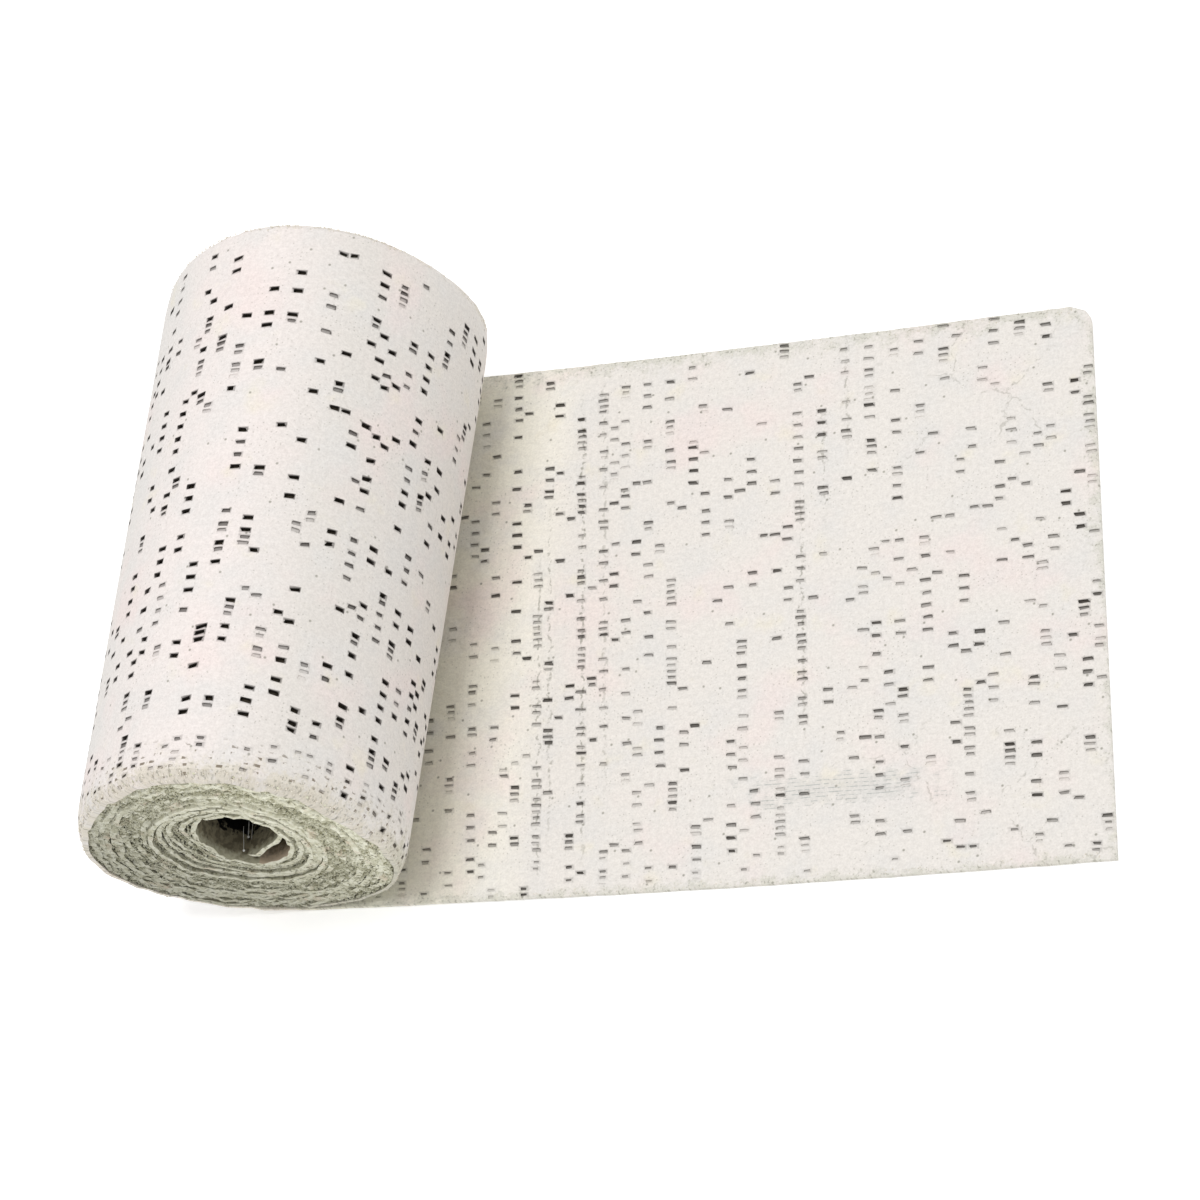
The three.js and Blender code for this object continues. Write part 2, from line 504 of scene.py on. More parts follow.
@dataclass(frozen=True)
class FaultLine:
    """A weft-wise line of thin cells on the loose end: its X, span in Y, how full and light, how cracked."""

    x: float
    y_from: float
    y_to: float
    share: float
    light: float
    crack: float = 0.0


@dataclass
class OpenWeave:
    """Which weave cells the plaster has left open, by column along the strip and row across it."""

    rows: int = 88
    seed: int = 14
    prone_roll: float = 0.18
    prone_loose: float = 0.175
    stray_roll: float = 0.022
    stray_loose: float = 0.045
    run_roll: float = 0.0045
    run_loose: float = 0.0075
    rim_rows: tuple[int, int] = (1, 6)
    rim_share: float = 0.3
    closed_far_rows: int = 3
    # A hollow's lightness is its painted shade: darker in these stretches of the loose end, and at these
    # levels on the roll
    dark_zones: tuple[tuple[float, float], ...] = ((29, 44), (126, 140))
    roll_lights: tuple[float, ...] = (0.03, 0.1, 0.25, 0.45)
    roll_light_shares: tuple[float, ...] = (0.6, 0.14, 0.14, 0.12)
    through_below: float = 0.18
    lightest: float = 0.97
    faults: tuple[FaultLine, ...] = (
        FaultLine(33, 5, 62, 0.6, 0.62, 0.6),
        FaultLine(36.5, 12, 70, 0.12, 0.6, 0.55),
        FaultLine(41, 8, 92, 0.42, 0.6, 0.7),
        FaultLine(45, 20, 97, 0.22, 0.62, 0.4),
        FaultLine(52, 8, 34, 0.6, 0.72),
        FaultLine(57, 12, 60, 0.3, 0.66),
        FaultLine(70, 8, 45, 0.35, 0.7),
        FaultLine(76, 5, 24, 0.6, 0.74),
        FaultLine(82, 28, 70, 0.5, 0.58, 0.6),
        FaultLine(84.5, 66, 86, 0.1, 0.6, 0.5),
        FaultLine(89, 80, 98, 0.3, 0.66, 0.5),
        FaultLine(93.5, 84, 98, 0.4, 0.76),
        FaultLine(92, 26, 56, 0.25, 0.7),
        FaultLine(108, 12, 32, 0.5, 0.66),
        FaultLine(123, 20, 70, 0.25, 0.7),
        FaultLine(131, 30, 92, 0.35, 0.72),
    )

    def start_light(self, rng: np.random.Generator, x: float) -> float:
        """Choose the lightness of the first cell of a stack.

        Args:
            rng: the random numbers.
            x: X of the cell's column, or ON_ROLL.

        Returns:
            The lightness.
        """
        if x == ON_ROLL:
            return float(rng.choice(self.roll_lights, p=self.roll_light_shares))
        zone = any(low < x < high for low, high in self.dark_zones)
        return float(rng.uniform(0.06, 0.26) if zone or rng.random() < 0.12 else rng.uniform(0.32, 0.74))

    def stack(self, rng: np.random.Generator, light: float) -> list[tuple[int, float]]:
        """Choose a stack's cells.

        Args:
            rng: the random numbers.
            light: lightness of its first cell.

        Returns:
            For each cell, how many rows nearer than the first it lies, and its lightness.
        """
        kind = rng.random()
        if kind < 0.52:
            return [(0, light)]
        if kind < 0.74:
            steps = range(1, int(rng.choice([2, 3, 4], p=[0.56, 0.34, 0.1])))
            return [(0, light)] + [(k, light + 0.2 * k + rng.uniform(0.05, 0.15)) for k in steps]
        count = int(rng.choice([2, 3, 4], p=[0.6, 0.28, 0.12]))
        return [(2 * k, light + rng.uniform(-0.05, 0.2) * (k > 0)) for k in range(count)]

    def add_run(self, rng: np.random.Generator, light: Array, column: int, row: int, start: float) -> None:
        """Add a short run of neighbouring cells along the strip.

        Args:
            rng: the random numbers.
            light: the cells' lightness so far, changed in place.
            column: the run's first column.
            row: its row.
            start: lightness of its first cell.
        """
        for k in range(int(rng.choice([2, 2, 2, 3]))):
            at = min(column + k, light.shape[0] - 1), int(np.clip(row, 0, self.rows - 1))
            light[at] = start + rng.uniform(0, 0.12)
            row += int(rng.choice([0, 0, 0, -1, 1]))

    def close_beside_stacks(self, light: Array) -> None:
        """Close the cells next to a stack, so that no stack meets a run of cells.

        Args:
            light: the cells' lightness, changed in place.
        """
        for i in range(1, light.shape[0] - 1):
            column = np.pad(light[i], 2, constant_values=CLOSED)
            near = np.min([column[:-4], column[1:-3], column[3:-1], column[4:]], axis=0)
            stacked = (light[i] < CLOSED) & (near < CLOSED)
            light[i - 1, stacked] = CLOSED
            light[i + 1, stacked] = CLOSED

    def cells(self, column_x: Array) -> tuple[Array, Array]:
        """Choose the open cells.

        Args:
            column_x: X of each column on the loose end, and ON_ROLL for those on the roll.

        Returns:
            Two columns by rows arrays: Fill values, and how light each hollow's painted shade is.
        """
        rng = np.random.default_rng(self.seed)
        columns = len(column_x)
        light = np.full((columns, self.rows), CLOSED)
        phase = 0
        for i in range(columns):
            phase = 1 - phase if rng.random() < 0.07 else phase
            loose = column_x[i] != ON_ROLL
            prone = self.prone_loose if loose else self.prone_roll
            stray = self.stray_loose if loose else self.stray_roll
            run_share = self.run_loose if loose else self.run_roll
            share = prone * rng.uniform(0.7, 1.3) if (i + phase) % 2 == 0 else stray
            row = self.rows - 1 - int(rng.integers(0, 3)) - (0 if loose else self.closed_far_rows)
            while row > 0:
                if rng.random() < share:
                    stack = self.stack(rng, self.start_light(rng, column_x[i]))
                    for step, value in stack:
                        light[i, max(row - step, 0)] = value
                    row -= stack[-1][0] + 1
                if rng.random() < run_share:
                    self.add_run(rng, light, i, row, self.start_light(rng, column_x[i]))
                row -= 1
            if not loose:
                light[i, 0] = CLOSED
                for row in range(*self.rim_rows):
                    if rng.random() < self.rim_share:
                        light[i, row] = rng.uniform(0.25, 0.85)
        for fault in self.faults:
            i = int(np.argmin(np.abs(column_x - fault.x)))
            for row in range(int(fault.y_from / 100 * self.rows), int(fault.y_to / 100 * self.rows)):
                if rng.random() < fault.share:
                    light[i, row] = min(light[i, row], fault.light + rng.uniform(-0.14, 0.14))
        light[light > self.lightest] = CLOSED
        self.close_beside_stacks(light)
        opened = (light < self.through_below) & (column_x == ON_ROLL)[:, None]
        fill = np.where(light == CLOSED, Fill.FULL, np.where(opened, Fill.OPEN, Fill.FILM))
        return fill, light


@dataclass
class StripGrid:
    """The outer strip's weave lines: where they cross, and which cells are open."""

    along: Array
    across: Array
    fill: Array
    light: Array
    first_loose: int

    @property
    def columns(self) -> int:
        """Number of cell columns."""
        return self.fill.shape[0]

    @property
    def rows(self) -> int:
        """Number of cell rows."""
        return self.fill.shape[1]

    def node(self, i: int, j: int) -> int:
        """Number of the point where line i crosses row line j."""
        return i * (self.rows + 1) + j


@dataclass
class OuterStrip:
    """The outer turn of the roll and the loose end: one sheet with its weave cells really open."""

    edges: StripEdges = field(default_factory=StripEdges)
    weave: OpenWeave = field(default_factory=OpenWeave)
    pitch_roll: float = 1.95
    pitch_end: float = 2.2
    roll_skew: float = 0.045
    loose_skew: float = 0.13
    hole_length: float = 0.84
    hole_height: float = 0.68
    loose_height: float = 0.58
    film_depth: float = 0.16
    # Painted shade on the cloth round an open cell's opening
    halo: float = 0.5
    rim_swell: float = 0.4
    lip_reach: float = 0.3
    lip_height: float = 45.0
    wobble: float = 0.16
    fray: float = 0.2
    half_lift: float = 0.13
    slope_step: float = 0.4
    # Painted shade down the walls of an open cell: lighter at the top, darkest at the bottom
    hole_wall: tuple[float, ...] = (0.24, 0.24, 0.02, 0.02)
    seed: int = 5

    def __post_init__(self) -> None:
        """Measure the outer turn's length at mid width."""
        winding = self.edges.winding
        self.turn_windings = np.linspace(winding.turns - 1, winding.turns, 721)
        x, z = winding.outer_face(self.turn_windings, np.full(721, winding.section.width / 2))
        steps = np.hypot(np.diff(x), np.diff(z))
        self.turn_lengths = np.concatenate([[0], np.cumsum(steps)])
        self.turn_length = float(self.turn_lengths[-1])
        self.length = self.turn_length + float(self.edges.end_x(np.array(0.5))) - self.edges.nip_x

    def section_at(self, along: Array, y: Array) -> tuple[Array, Array]:
        """Place the strip's outer face in the section plane.

        Args:
            along: distances along the strip, in mm.
            y: places along the roll's axis, in mm.

        Returns:
            X and Z of the outer face.
        """
        winding = np.interp(along, self.turn_lengths, self.turn_windings)
        x, z = self.edges.winding.outer_face(winding, y)
        past = along - self.turn_length
        lift = self.half_lift * (1 + wander(along + 0.4 * y, 23.0, 3)) * smooth(past / 30)
        loose = past > 0
        return np.where(loose, self.edges.nip_x + past, x), np.where(loose, lift, z)

    def edge_at(self, along: Array) -> tuple[Array, Array]:
        """Find the strip's edges at a distance along it.

        Args:
            along: distances along the strip, in mm.

        Returns:
            Y of the near and of the far edge.
        """
        width = self.edges.winding.section.width
        x, z = self.section_at(along, np.full(np.shape(along), width / 2))
        foot = self.edges.foot(z)
        near, far = self.edges.loose(x)
        t = smooth((along - self.turn_length + 12) / 24)
        rough = [self.fray * wander(along, 1.3, k) + 0.12 * wander(along, 7, k + 1) for k in (21, 23)]
        calm = 1 - 0.75 * t
        stands_out = self.lip_reach * smooth(z / self.lip_height)
        return mix(foot - stands_out, near, t) + rough[0] * calm, mix(width + foot, far, t) + rough[1] * calm

    def place(self, along: Array, across: Array) -> tuple[Array, Array]:
        """Place points of the sheet on its outer and inner faces.

        Args:
            along: distances along the strip, in mm, from where the outer turn starts.
            across: places across it, from 0 at the near edge to 1 at the far edge.

        Returns:
            The points on the outer face and on the inner face.
        """
        near, far = self.edge_at(along)
        y = mix(near, far, across)
        x, z = self.section_at(along, y)
        x1, z1 = self.section_at(along + self.slope_step, y)
        x0, z0 = self.section_at(along - self.slope_step, y)
        length = np.maximum(np.hypot(x1 - x0, z1 - z0), 1e-6)
        tx, tz = (x1 - x0) / length, (z1 - z0) / length
        rough = 0.05 * wander(along * 1.7 + y * 3.1, 1.9, 8) + 0.04 * wander(y * 1.3 - along * 2.3, 2.3, 9)
        from_edge = np.minimum(y - near, far - y)
        on_roll = smooth((self.turn_length - 6 - along) / 6) * smooth((along - 4) / 6)
        swell = self.rim_swell * on_roll * smooth(z / self.lip_height)
        thick = self.edges.winding.thickness + rough + swell * np.exp(-from_edge / 0.9)
        outer = np.stack([x, y, z], -1)
        inner = np.stack([x - tz * thick, y, z + tx * thick], -1)
        return outer, inner

    def weft_lines(self) -> Array:
        """Space the weft lines at mid width.

        Returns:
            Their distances along the strip, in mm.
        """
        end = self.length
        lines = [0.0]
        while lines[-1] < end:
            t = smooth((lines[-1] - self.turn_length) / (end - self.turn_length))
            lines.append(lines[-1] + mix(self.pitch_roll, self.pitch_end, float(t)))
        return np.array(lines[:-1]) * end / lines[-2]

    def sheared(self, lines: Array, across: Array) -> Array:
        """Slant the weft lines across the strip, so that the last one is the cut end.

        Args:
            lines: the weft lines' distances along the strip at mid width, in mm.
            across: places across it.

        Returns:
            The distances along the strip.
        """
        full = self.edges.winding.section.width
        last = lines.max()
        past_nip = np.clip((lines - self.turn_length) / (last - self.turn_length), 0, 1)
        loose_skew = mix(self.loose_skew, self.edges.end_skew, past_nip)
        to_loose = smooth((lines - self.turn_length + 25) / 50)
        skew = mix(self.roll_skew * smooth(lines / 25), loose_skew, to_loose)
        slanted = lines + skew * (0.5 - across) * full
        end = self.turn_length + self.edges.end_x(across) - self.edges.nip_x
        last_slanted = last + self.edges.end_skew * (0.5 - across) * full
        return slanted + (end - last_slanted) * smooth((lines - last + 12) / 12)

    def column_x(self, lines: Array) -> Array:
        """X of each column on the loose end, and ON_ROLL for those on the roll."""
        middle = (lines[1:] + lines[:-1]) / 2
        return np.where(middle > self.turn_length, self.edges.nip_x + middle - self.turn_length, ON_ROLL)

    def cracked(self) -> tuple[tuple[int, FaultLine], ...]:
        """Find the columns of the cracked fault lines.

        Returns:
            The column's number and the line, for each.
        """
        column_x = self.column_x(self.weft_lines())
        cracked = [fault for fault in self.weave.faults if fault.crack > 0]
        return tuple((int(np.argmin(np.abs(column_x - fault.x))), fault) for fault in cracked)

    def grid(self) -> StripGrid:
        """Lay out the weave lines and choose the open cells.

        Returns:
            The weave lines and the cells.
        """
        lines = self.weft_lines()
        count, rows = len(lines) - 1, self.weave.rows
        column_x = self.column_x(lines)
        fill, light = self.weave.cells(column_x)
        number, row = np.meshgrid(np.arange(count + 1), np.arange(rows + 1), indexing="ij")
        across = row / rows
        along = self.sheared(lines[number], across)
        sway = self.wobble * wander(across * ACROSS + 37 * (number // 2), 6.0, 31)
        along = along + sway * ((number > 0) & (number < count))
        dip = 0.0012 * wander(along, 9.0, 33)
        across = across + dip * ((row > 0) & (row < rows))
        return StripGrid(along, across, fill, light, int(np.argmax(column_x > 0)))

    def rings(self, grid: StripGrid, opened: Array) -> tuple[Array, Array, Array]:
        """Eight points around each opening.

        Args:
            grid: the weave lines.
            opened: column and row of each open cell.

        Returns:
            Their places along and across the strip, and their weave coordinates.
        """
        rng = np.random.default_rng(self.seed)
        ring_u = np.array([-0.76, 0.76, 1, 1, 0.76, -0.76, -1, -1])
        ring_v = np.array([-1, -1, -0.55, 0.55, 1, 1, 0.55, -0.55])
        size = rng.uniform(0.8, 1.08, (len(opened), 2))
        size[opened[:, 1] < self.weave.rim_rows[1]] *= 0.75
        centre = 0.5 + rng.uniform(-0.05, 0.05, (len(opened), 2))
        ragged = rng.uniform(0.76, 1.12, (len(opened), RING))
        height = np.where(opened[:, :1] < grid.first_loose, self.hole_height, self.loose_height)
        fu = centre[:, :1] + 0.5 * self.hole_length * size[:, :1] * ring_u * ragged
        fv = centre[:, 1:] + 0.5 * height * size[:, 1:] * ring_v * ragged
        fu, fv = np.clip(fu, 0.04, 0.96), np.clip(fv, 0.08, 0.92)
        i, j = opened[:, :1], opened[:, 1:]
        placed = []
        for values in (grid.along, grid.across):
            low = mix(values[i, j], values[i + 1, j], fu)
            high = mix(values[i, j + 1], values[i + 1, j + 1], fu)
            placed.append(mix(low, high, fv))
        return placed[0], placed[1], np.stack([i + fu, j + fv], -1)

    @staticmethod
    def surround(corners: Sequence[int], ring: Sequence[int]) -> list[list[int]]:
        """Faces between a cell's four corners and the eight points of its opening.

        Args:
            corners: the corner points.
            ring: the opening's points.

        Returns:
            The faces.
        """
        faces = []
        for side in range(4):
            c0, c1 = corners[side], corners[(side + 1) % 4]
            r0, r1, r2 = ring[2 * side], ring[2 * side + 1], ring[(2 * side + 2) % RING]
            faces.extend([[c0, c1, r1, r0], [c1, r2, r1]])
        return faces

    def add_around(
        self,
        faces: FaceList,
        corners: list[int],
        ring: list[int],
        halo: float,
        open_sides: tuple[bool, bool],
        total: int,
    ) -> None:
        """Add a cell's faces: around its opening on the sides where it is open, and across it elsewhere.

        Args:
            faces: where the faces go.
            corners: the cell's corner points on the outer face.
            ring: the opening's points there.
            halo: painted shade at the opening.
            open_sides: whether the cell is open on the outer face, and on the inner one.
            total: step in point numbers from the outer face to the inner one.
        """
        for inner, is_open in enumerate(open_sides):
            for face in self.surround(corners, ring) if is_open else [corners]:
                turned = face[::-1] if inner else face
                shades = [halo if point in ring else 1.0 for point in turned]
                faces.add([point + total * inner for point in turned], shades)

    @staticmethod
    def add_film(
        faces: FaceList, ring: list[int], film: list[int], light: float, roll_side: bool, total: int
    ) -> None:
        """Add a recess: its walls, and a film of plaster across it, both darkened with painted shade.

        Args:
            faces: where the faces go.
            ring: the opening's points on the outer face.
            film: the film's points.
            light: how light the film's painted shade is.
            roll_side: whether the outer face is the one that shows.
            total: step in point numbers from the outer face to the inner one.
        """
        rim = mix(light, 1.0, 0.4)
        for k in range(RING):
            m = (k + 1) % RING
            if roll_side:
                faces.add([ring[k], ring[m], film[m], film[k]], [rim, rim, light, light])
            else:
                faces.add([ring[m] + total, ring[k] + total, film[k], film[m]], [rim, rim, light, light])
        faces.add(film if roll_side else film[::-1], light)

    def add_hole(self, faces: FaceList, ring: list[int], total: int) -> None:
        """Add the walls of a cell that is open right through, with painted shade that darkens them downwards.
        """
        for r0, r1 in zip(ring, ring[1:] + ring[:1]):
            faces.add([r0, r1, r1 + total, r0 + total], self.hole_wall)

    def mesh(self) -> MeshData:
        """Make the sheet with its open and half-filled cells.

        Returns:
            The closed mesh.
        """
        rng = np.random.default_rng(self.seed + 1)
        grid = self.grid()
        opened = np.argwhere(grid.fill != Fill.FULL)
        ring_along, ring_across, ring_cells = self.rings(grid, opened)
        number, row = np.meshgrid(np.arange(grid.columns + 1), np.arange(grid.rows + 1), indexing="ij")
        along = np.concatenate([grid.along.ravel(), ring_along.ravel()])
        across = np.concatenate([grid.across.ravel(), ring_across.ravel()])
        plain_cells = np.stack([number.ravel(), row.ravel()], -1)
        cells = np.concatenate([plain_cells, ring_cells.reshape(-1, 2)])
        outer, inner = self.place(along, across)
        strip = np.stack([along, across * ACROSS], -1)
        total, first_ring = len(along), grid.along.size
        faces = FaceList()
        hole_of = {(int(a), int(b)): k for k, (a, b) in enumerate(opened)}
        film_points, film_from = [], []
        for a in range(grid.columns):
            roll_side = a < grid.first_loose
            lead, back = (outer, inner) if roll_side else (inner, outer)
            for b in range(grid.rows):
                corners = [grid.node(a, b), grid.node(a + 1, b), grid.node(a + 1, b + 1), grid.node(a, b + 1)]
                hole = hole_of.get((a, b))
                if hole is None:
                    self.add_around(faces, corners, [], 1.0, (False, False), total)
                    continue
                ring = [first_ring + hole * RING + k for k in range(RING)]
                if grid.fill[a, b] == Fill.OPEN:
                    self.add_around(faces, corners, ring, self.halo, (True, True), total)
                    self.add_hole(faces, ring, total)
                    continue
                light = float(grid.light[a, b])
                # Painted shade round the film's opening, from the cell's lightness
                self.add_around(faces, corners, ring, mix(light, 1.0, 0.7), (roll_side, not roll_side), total)
                depth = self.film_depth * mix(1.5, 0.45, light) * rng.uniform(0.8, 1.2)
                film_points.append(mix(lead[ring], back[ring], depth / self.edges.winding.thickness))
                film = [2 * total + len(film_from) + k for k in range(RING)]
                film_from.extend(ring)
                self.add_film(faces, ring, film, light, roll_side, total)
        for a in range(grid.columns):
            for b, turned in ((0, True), (grid.rows, False)):
                faces.add_wall(grid.node(a, b), grid.node(a + 1, b), total, turned)
        for b in range(grid.rows):
            for a, turned in ((0, False), (grid.columns, True)):
                faces.add_wall(grid.node(a, b), grid.node(a, b + 1), total, turned)
        counts = (grid.columns, len(opened), len(film_points))
        log.info("outer strip: %d columns, %d thin cells, %d films", *counts)
        return MeshData(
            np.concatenate([outer, inner, *film_points]),
            np.concatenate([strip, strip, strip[film_from]]),
            np.concatenate([cells, cells, cells[film_from]]),
            faces,
        )


@dataclass
class WoundStrip:
    """The inner turns of the strip, from the flap in the core hole to the start of the outer turn."""

    edges: StripEdges = field(default_factory=StripEdges)
    step: float = 0.85
    flap_tip: tuple[float, float] = (-0.5, 22.3)
    flap_sag: tuple[float, float] = (4.4, 24.9)
    flap_root_drop: float = 2.0
    flap_steps: int = 14
    proud_turn: float = 7.5
    proud: float = 0.7
    core_dish: float = -0.4
    pocket_angle: float = math.radians(-62)
    pocket_reach: float = math.radians(43)
    ridge: float = 0.34
    ridge_turns: float = 2.2
    ridge_last: float = 9.0
    outer_dip: float = 0.15
    low_angle: float = math.radians(225)
    low_reach: float = 1.6
    # Rows in from each end after which the turns take the painted-shade material
    hidden_from_rows: int = 3
    core_turns: float = 1.35
    seed: int = 40
    rows_mm: tuple[float, ...] = (0, 0.3, 0.9, 2.0, 5, 12, 50, 88, 95, 98, 99.2, 99.8)

    def node(self, station: int, row: int) -> int:
        """Number of the point where a station crosses a row."""
        return station * len(self.rows_mm) + row

    def stations(self) -> tuple[Array, Array]:
        """Space the stations along the strip.

        Returns:
            Their winding numbers, and the distance of each from the first, in mm.
        """
        winding = self.edges.winding
        first = 1 + (winding.flap_angle - BOTTOM) / (2 * math.pi)
        fine = np.linspace(first, winding.turns - 1, 20001)
        x, z = winding.outer_face(fine, np.full(fine.shape, winding.section.width / 2))
        lengths = np.concatenate([[0], np.cumsum(np.hypot(np.diff(x), np.diff(z)))])
        at = np.linspace(0, lengths[-1], int(lengths[-1] / self.step))
        return np.interp(at, lengths, fine), at

    def flap(self, root: Array) -> Array:
        """The flap's line in the section plane, from its tip to the root on the core's wall.

        Args:
            root: X and Z of the root.

        Returns:
            The points, as rows of X and Z.
        """
        t = np.linspace(0, 1, self.flap_steps + 1)[:-1, None]
        drop = root + np.array([0.2, -self.flap_root_drop])
        tip, sag = np.array(self.flap_tip), np.array(self.flap_sag)
        return (1 - t) ** 3 * tip + 3 * (1 - t) ** 2 * t * sag + 3 * (1 - t) * t**2 * drop + t**3 * root

    def inset(self, winding: Array, at: Array, seed: int) -> Array:
        """How far a turn's edge stands in from the plain end.

        Args:
            winding: winding numbers.
            at: distances along the strip, in mm.
            seed: which random relief.

        Returns:
            The insets, in mm.
        """
        turns = self.edges.winding.turns
        proud = self.proud * np.exp(-(((winding - self.proud_turn) / 1.6) ** 2))
        dish = self.core_dish * np.exp(-winding / 2.5)
        group = 0.3 * wander(winding * 10, 17, seed) + 0.2 * wander(winding * 10, 7, seed + 1)
        rough = mix(0.5, 1.0, smooth((winding - 6) / 5)) + 0.9 * np.exp(-((winding / 1.1) ** 2))
        lumps = 0.24 * wander(at, 3.4, seed + 2) + 0.34 * wander(at, 1.1, seed + 3)
        ridges = self.ridge * np.cos(2 * math.pi * winding / self.ridge_turns)
        ridges = ridges * (1 - smooth((winding - self.ridge_last + 2) / 4))
        under_lip = self.outer_dip * np.exp(-(turns - 1 - winding) / 1.6)
        off = angle_between(self.edges.winding.angle(winding), self.low_angle)
        low = 0.8 * np.exp(-((off / self.low_reach) ** 2)) * smooth((winding - 9) / 8)
        return (0.5 + dish - proud + group + ridges + under_lip) * (1 - low) + lumps * rough

    def surface(self) -> tuple[Array, Array, Array, Array, Array]:
        """Lay the strip out as a grid of stations by rows.

        Returns:
            X, Y and Z of the outer face, the stations' winding numbers, and their distances.
        """
        winding = self.edges.winding
        width = winding.section.width
        rows = np.array(self.rows_mm)
        windings, at = self.stations()
        plain = rows[None] + 0 * windings[:, None]
        x, z = winding.outer_face(windings[:, None] + 0 * plain, plain)
        middle = len(rows) // 2
        line = self.flap(np.array([x[0, middle], z[0, middle]]))
        x = np.concatenate([np.repeat(line[:, :1], len(rows), 1), x])
        z = np.concatenate([np.repeat(line[:, 1:], len(rows), 1), z])
        at = np.concatenate([-np.arange(self.flap_steps, 0, -1) * self.step, at])
        windings = np.concatenate([np.full(self.flap_steps, windings[0]), windings])
        foot = self.edges.foot(z[:, middle])
        near = foot + self.inset(windings, at, self.seed)
        far = width + foot - self.inset(windings, at, self.seed + 10)
        y = mix(near[:, None], far[:, None], (rows / width)[None])
        return x, y, z, windings, at

    def mesh(self) -> MeshData:
        """Make the wound sheet.

        Returns:
            The closed mesh.
        """
        x, y, z, windings, at = self.surface()
        rows = np.array(self.rows_mm)
        from_edge = np.minimum(rows, rows[-1] - rows)
        tx, tz = np.gradient(x, axis=0), np.gradient(z, axis=0)
        length = np.maximum(np.hypot(tx, tz), 1e-6)
        tx, tz = tx / length, tz / length
        outer_zone = smooth((windings - 8) / 5)
        amount = mix(0.12, 0.3, outer_zone)
        ruffle = 0.6 * wander(at, 2.1, self.seed + 20) + 0.5 * wander(at, 0.9, self.seed + 21)
        shift = (ruffle * amount)[:, None] * np.exp(-from_edge / 1.5)[None]
        x, z = x - tz * shift, z + tx * shift
        wave = mix(0.3, 0.5, outer_zone) * wander(at, 1.4, self.seed + 22)
        wave = (wave + mix(0.4, 0.75, outer_zone))[:, None]
        thick = self.edges.winding.thickness * (1 + wave * np.exp(-from_edge / 1.2)[None])
        outer = np.stack([x, y, z], -1).reshape(-1, 3)
        inner = np.stack([x - tz * thick, y, z + tx * thick], -1).reshape(-1, 3)
        strip = np.stack([at[:, None] + 0 * y, y], -1).reshape(-1, 2)
        count = len(rows)
        total = count * len(at)
        faces = FaceList()
        # Painted shade on the turns' faces: darker the further in from the roll's end
        deep = np.clip(0.92 * np.exp(-from_edge / 1.9), 0.05, 1)
        core = windings < self.core_turns
        off = angle_between(self.edges.winding.angle(windings), self.pocket_angle)
        lining = np.where(np.abs(off) < self.pocket_reach, Lining.POCKET, Lining.CORE)
        for a in range(len(at) - 1):
            for b in range(count - 1):
                face = [self.node(a, b), self.node(a + 1, b), self.node(a + 1, b + 1), self.node(a, b + 1)]
                s0, s1 = float(deep[b]), float(deep[b + 1])
                # Faces past the first rows get the painted-shade gauze of the gaps between the turns
                covered = self.hidden_from_rows <= b < count - 1 - self.hidden_from_rows
                finish = Lining.HIDDEN if covered else Lining.RIM
                faces.add(face, [s0, s0, s1, s1], finish)
                back = [point + total for point in reversed(face)]
                faces.add(back, [s1, s1, s0, s0], int(lining[a]) if core[a] else finish)
            for b, turned in ((0, True), (count - 1, False)):
                faces.add_wall(self.node(a, b), self.node(a + 1, b), total, turned)
        for b in range(count - 1):
            for a, turned in ((0, False), (len(at) - 1, True)):
                faces.add_wall(self.node(a, b), self.node(a, b + 1), total, turned)
        self.length = float(at[-1] - at[0])
        log.info("wound strip: %d stations, %.0f mm long", len(at), self.length)
        points = np.concatenate([outer, inner])
        return MeshData(points, np.tile(strip, (2, 1)), np.tile(strip, (2, 1)), faces)


@dataclass(frozen=True)
class Patches:
    """Soft random patches: their size in mm, the noise where one starts and is full, and which set."""

    size: float
    low: float
    high: float
    number: int = 0

    def mask(self, tree: Tree, at: Socket) -> Socket:
        """Add the patches' nodes.

        Args:
            tree: the material's node tree.
            at: the place, in mm.

        Returns:
            The mask's socket, from 0 to 1.
        """
        step = tuple(self.number * value for value in PATCH_SET_STEP)
        moved = add_node(tree, VECTOR_MATH, (at, step), operation="ADD")
        noise = {"Vector": moved, "Scale": 1 / self.size, "Detail": 3.0, "Roughness": 0.55}
        ends = (add_node(tree, NOISE, noise), self.low, self.high)
        return add_node(tree, MAP_RANGE, ends, interpolation_type="SMOOTHSTEP")


@dataclass(frozen=True)
class Pinholes:
    """Scattered pinholes: distance between possible ones and radius in mm, and the share that is there."""

    spacing: float
    radius: float
    share: float

    def mask(self, tree: Tree, at: Socket) -> Socket:
        """Add the pinholes' nodes.

        Args:
            tree: the material's node tree.
            at: the place, in mm.

        Returns:
            The mask's socket, with soft rims.
        """
        grid = {"Vector": at, "Scale": 1 / self.spacing}
        cells = add_node(tree, VORONOI, grid, voronoi_dimensions="2D")
        radius = self.radius / self.spacing
        dot = add_node(tree, MAP_RANGE, (cells, 1.5 * radius, 0.6 * radius))
        picked = add_node(tree, "ShaderNodeSeparateColor", (cells.node.outputs["Color"],))
        there = add_node(tree, MATH, (picked, self.share), operation="LESS_THAN")
        return add_node(tree, MATH, (dot, there), operation="MULTIPLY")


@dataclass(frozen=True)
class Tone:
    """A band of painted light or shade: a colour that the plaster turns to between two distances along the
    strip, in mm.
    """

    start: float
    end: float
    colour: str


@dataclass(frozen=True)
class Tint:
    """A colour mixed into the plaster in patches, and how strongly."""

    colour: str
    strength: float
    patches: Patches


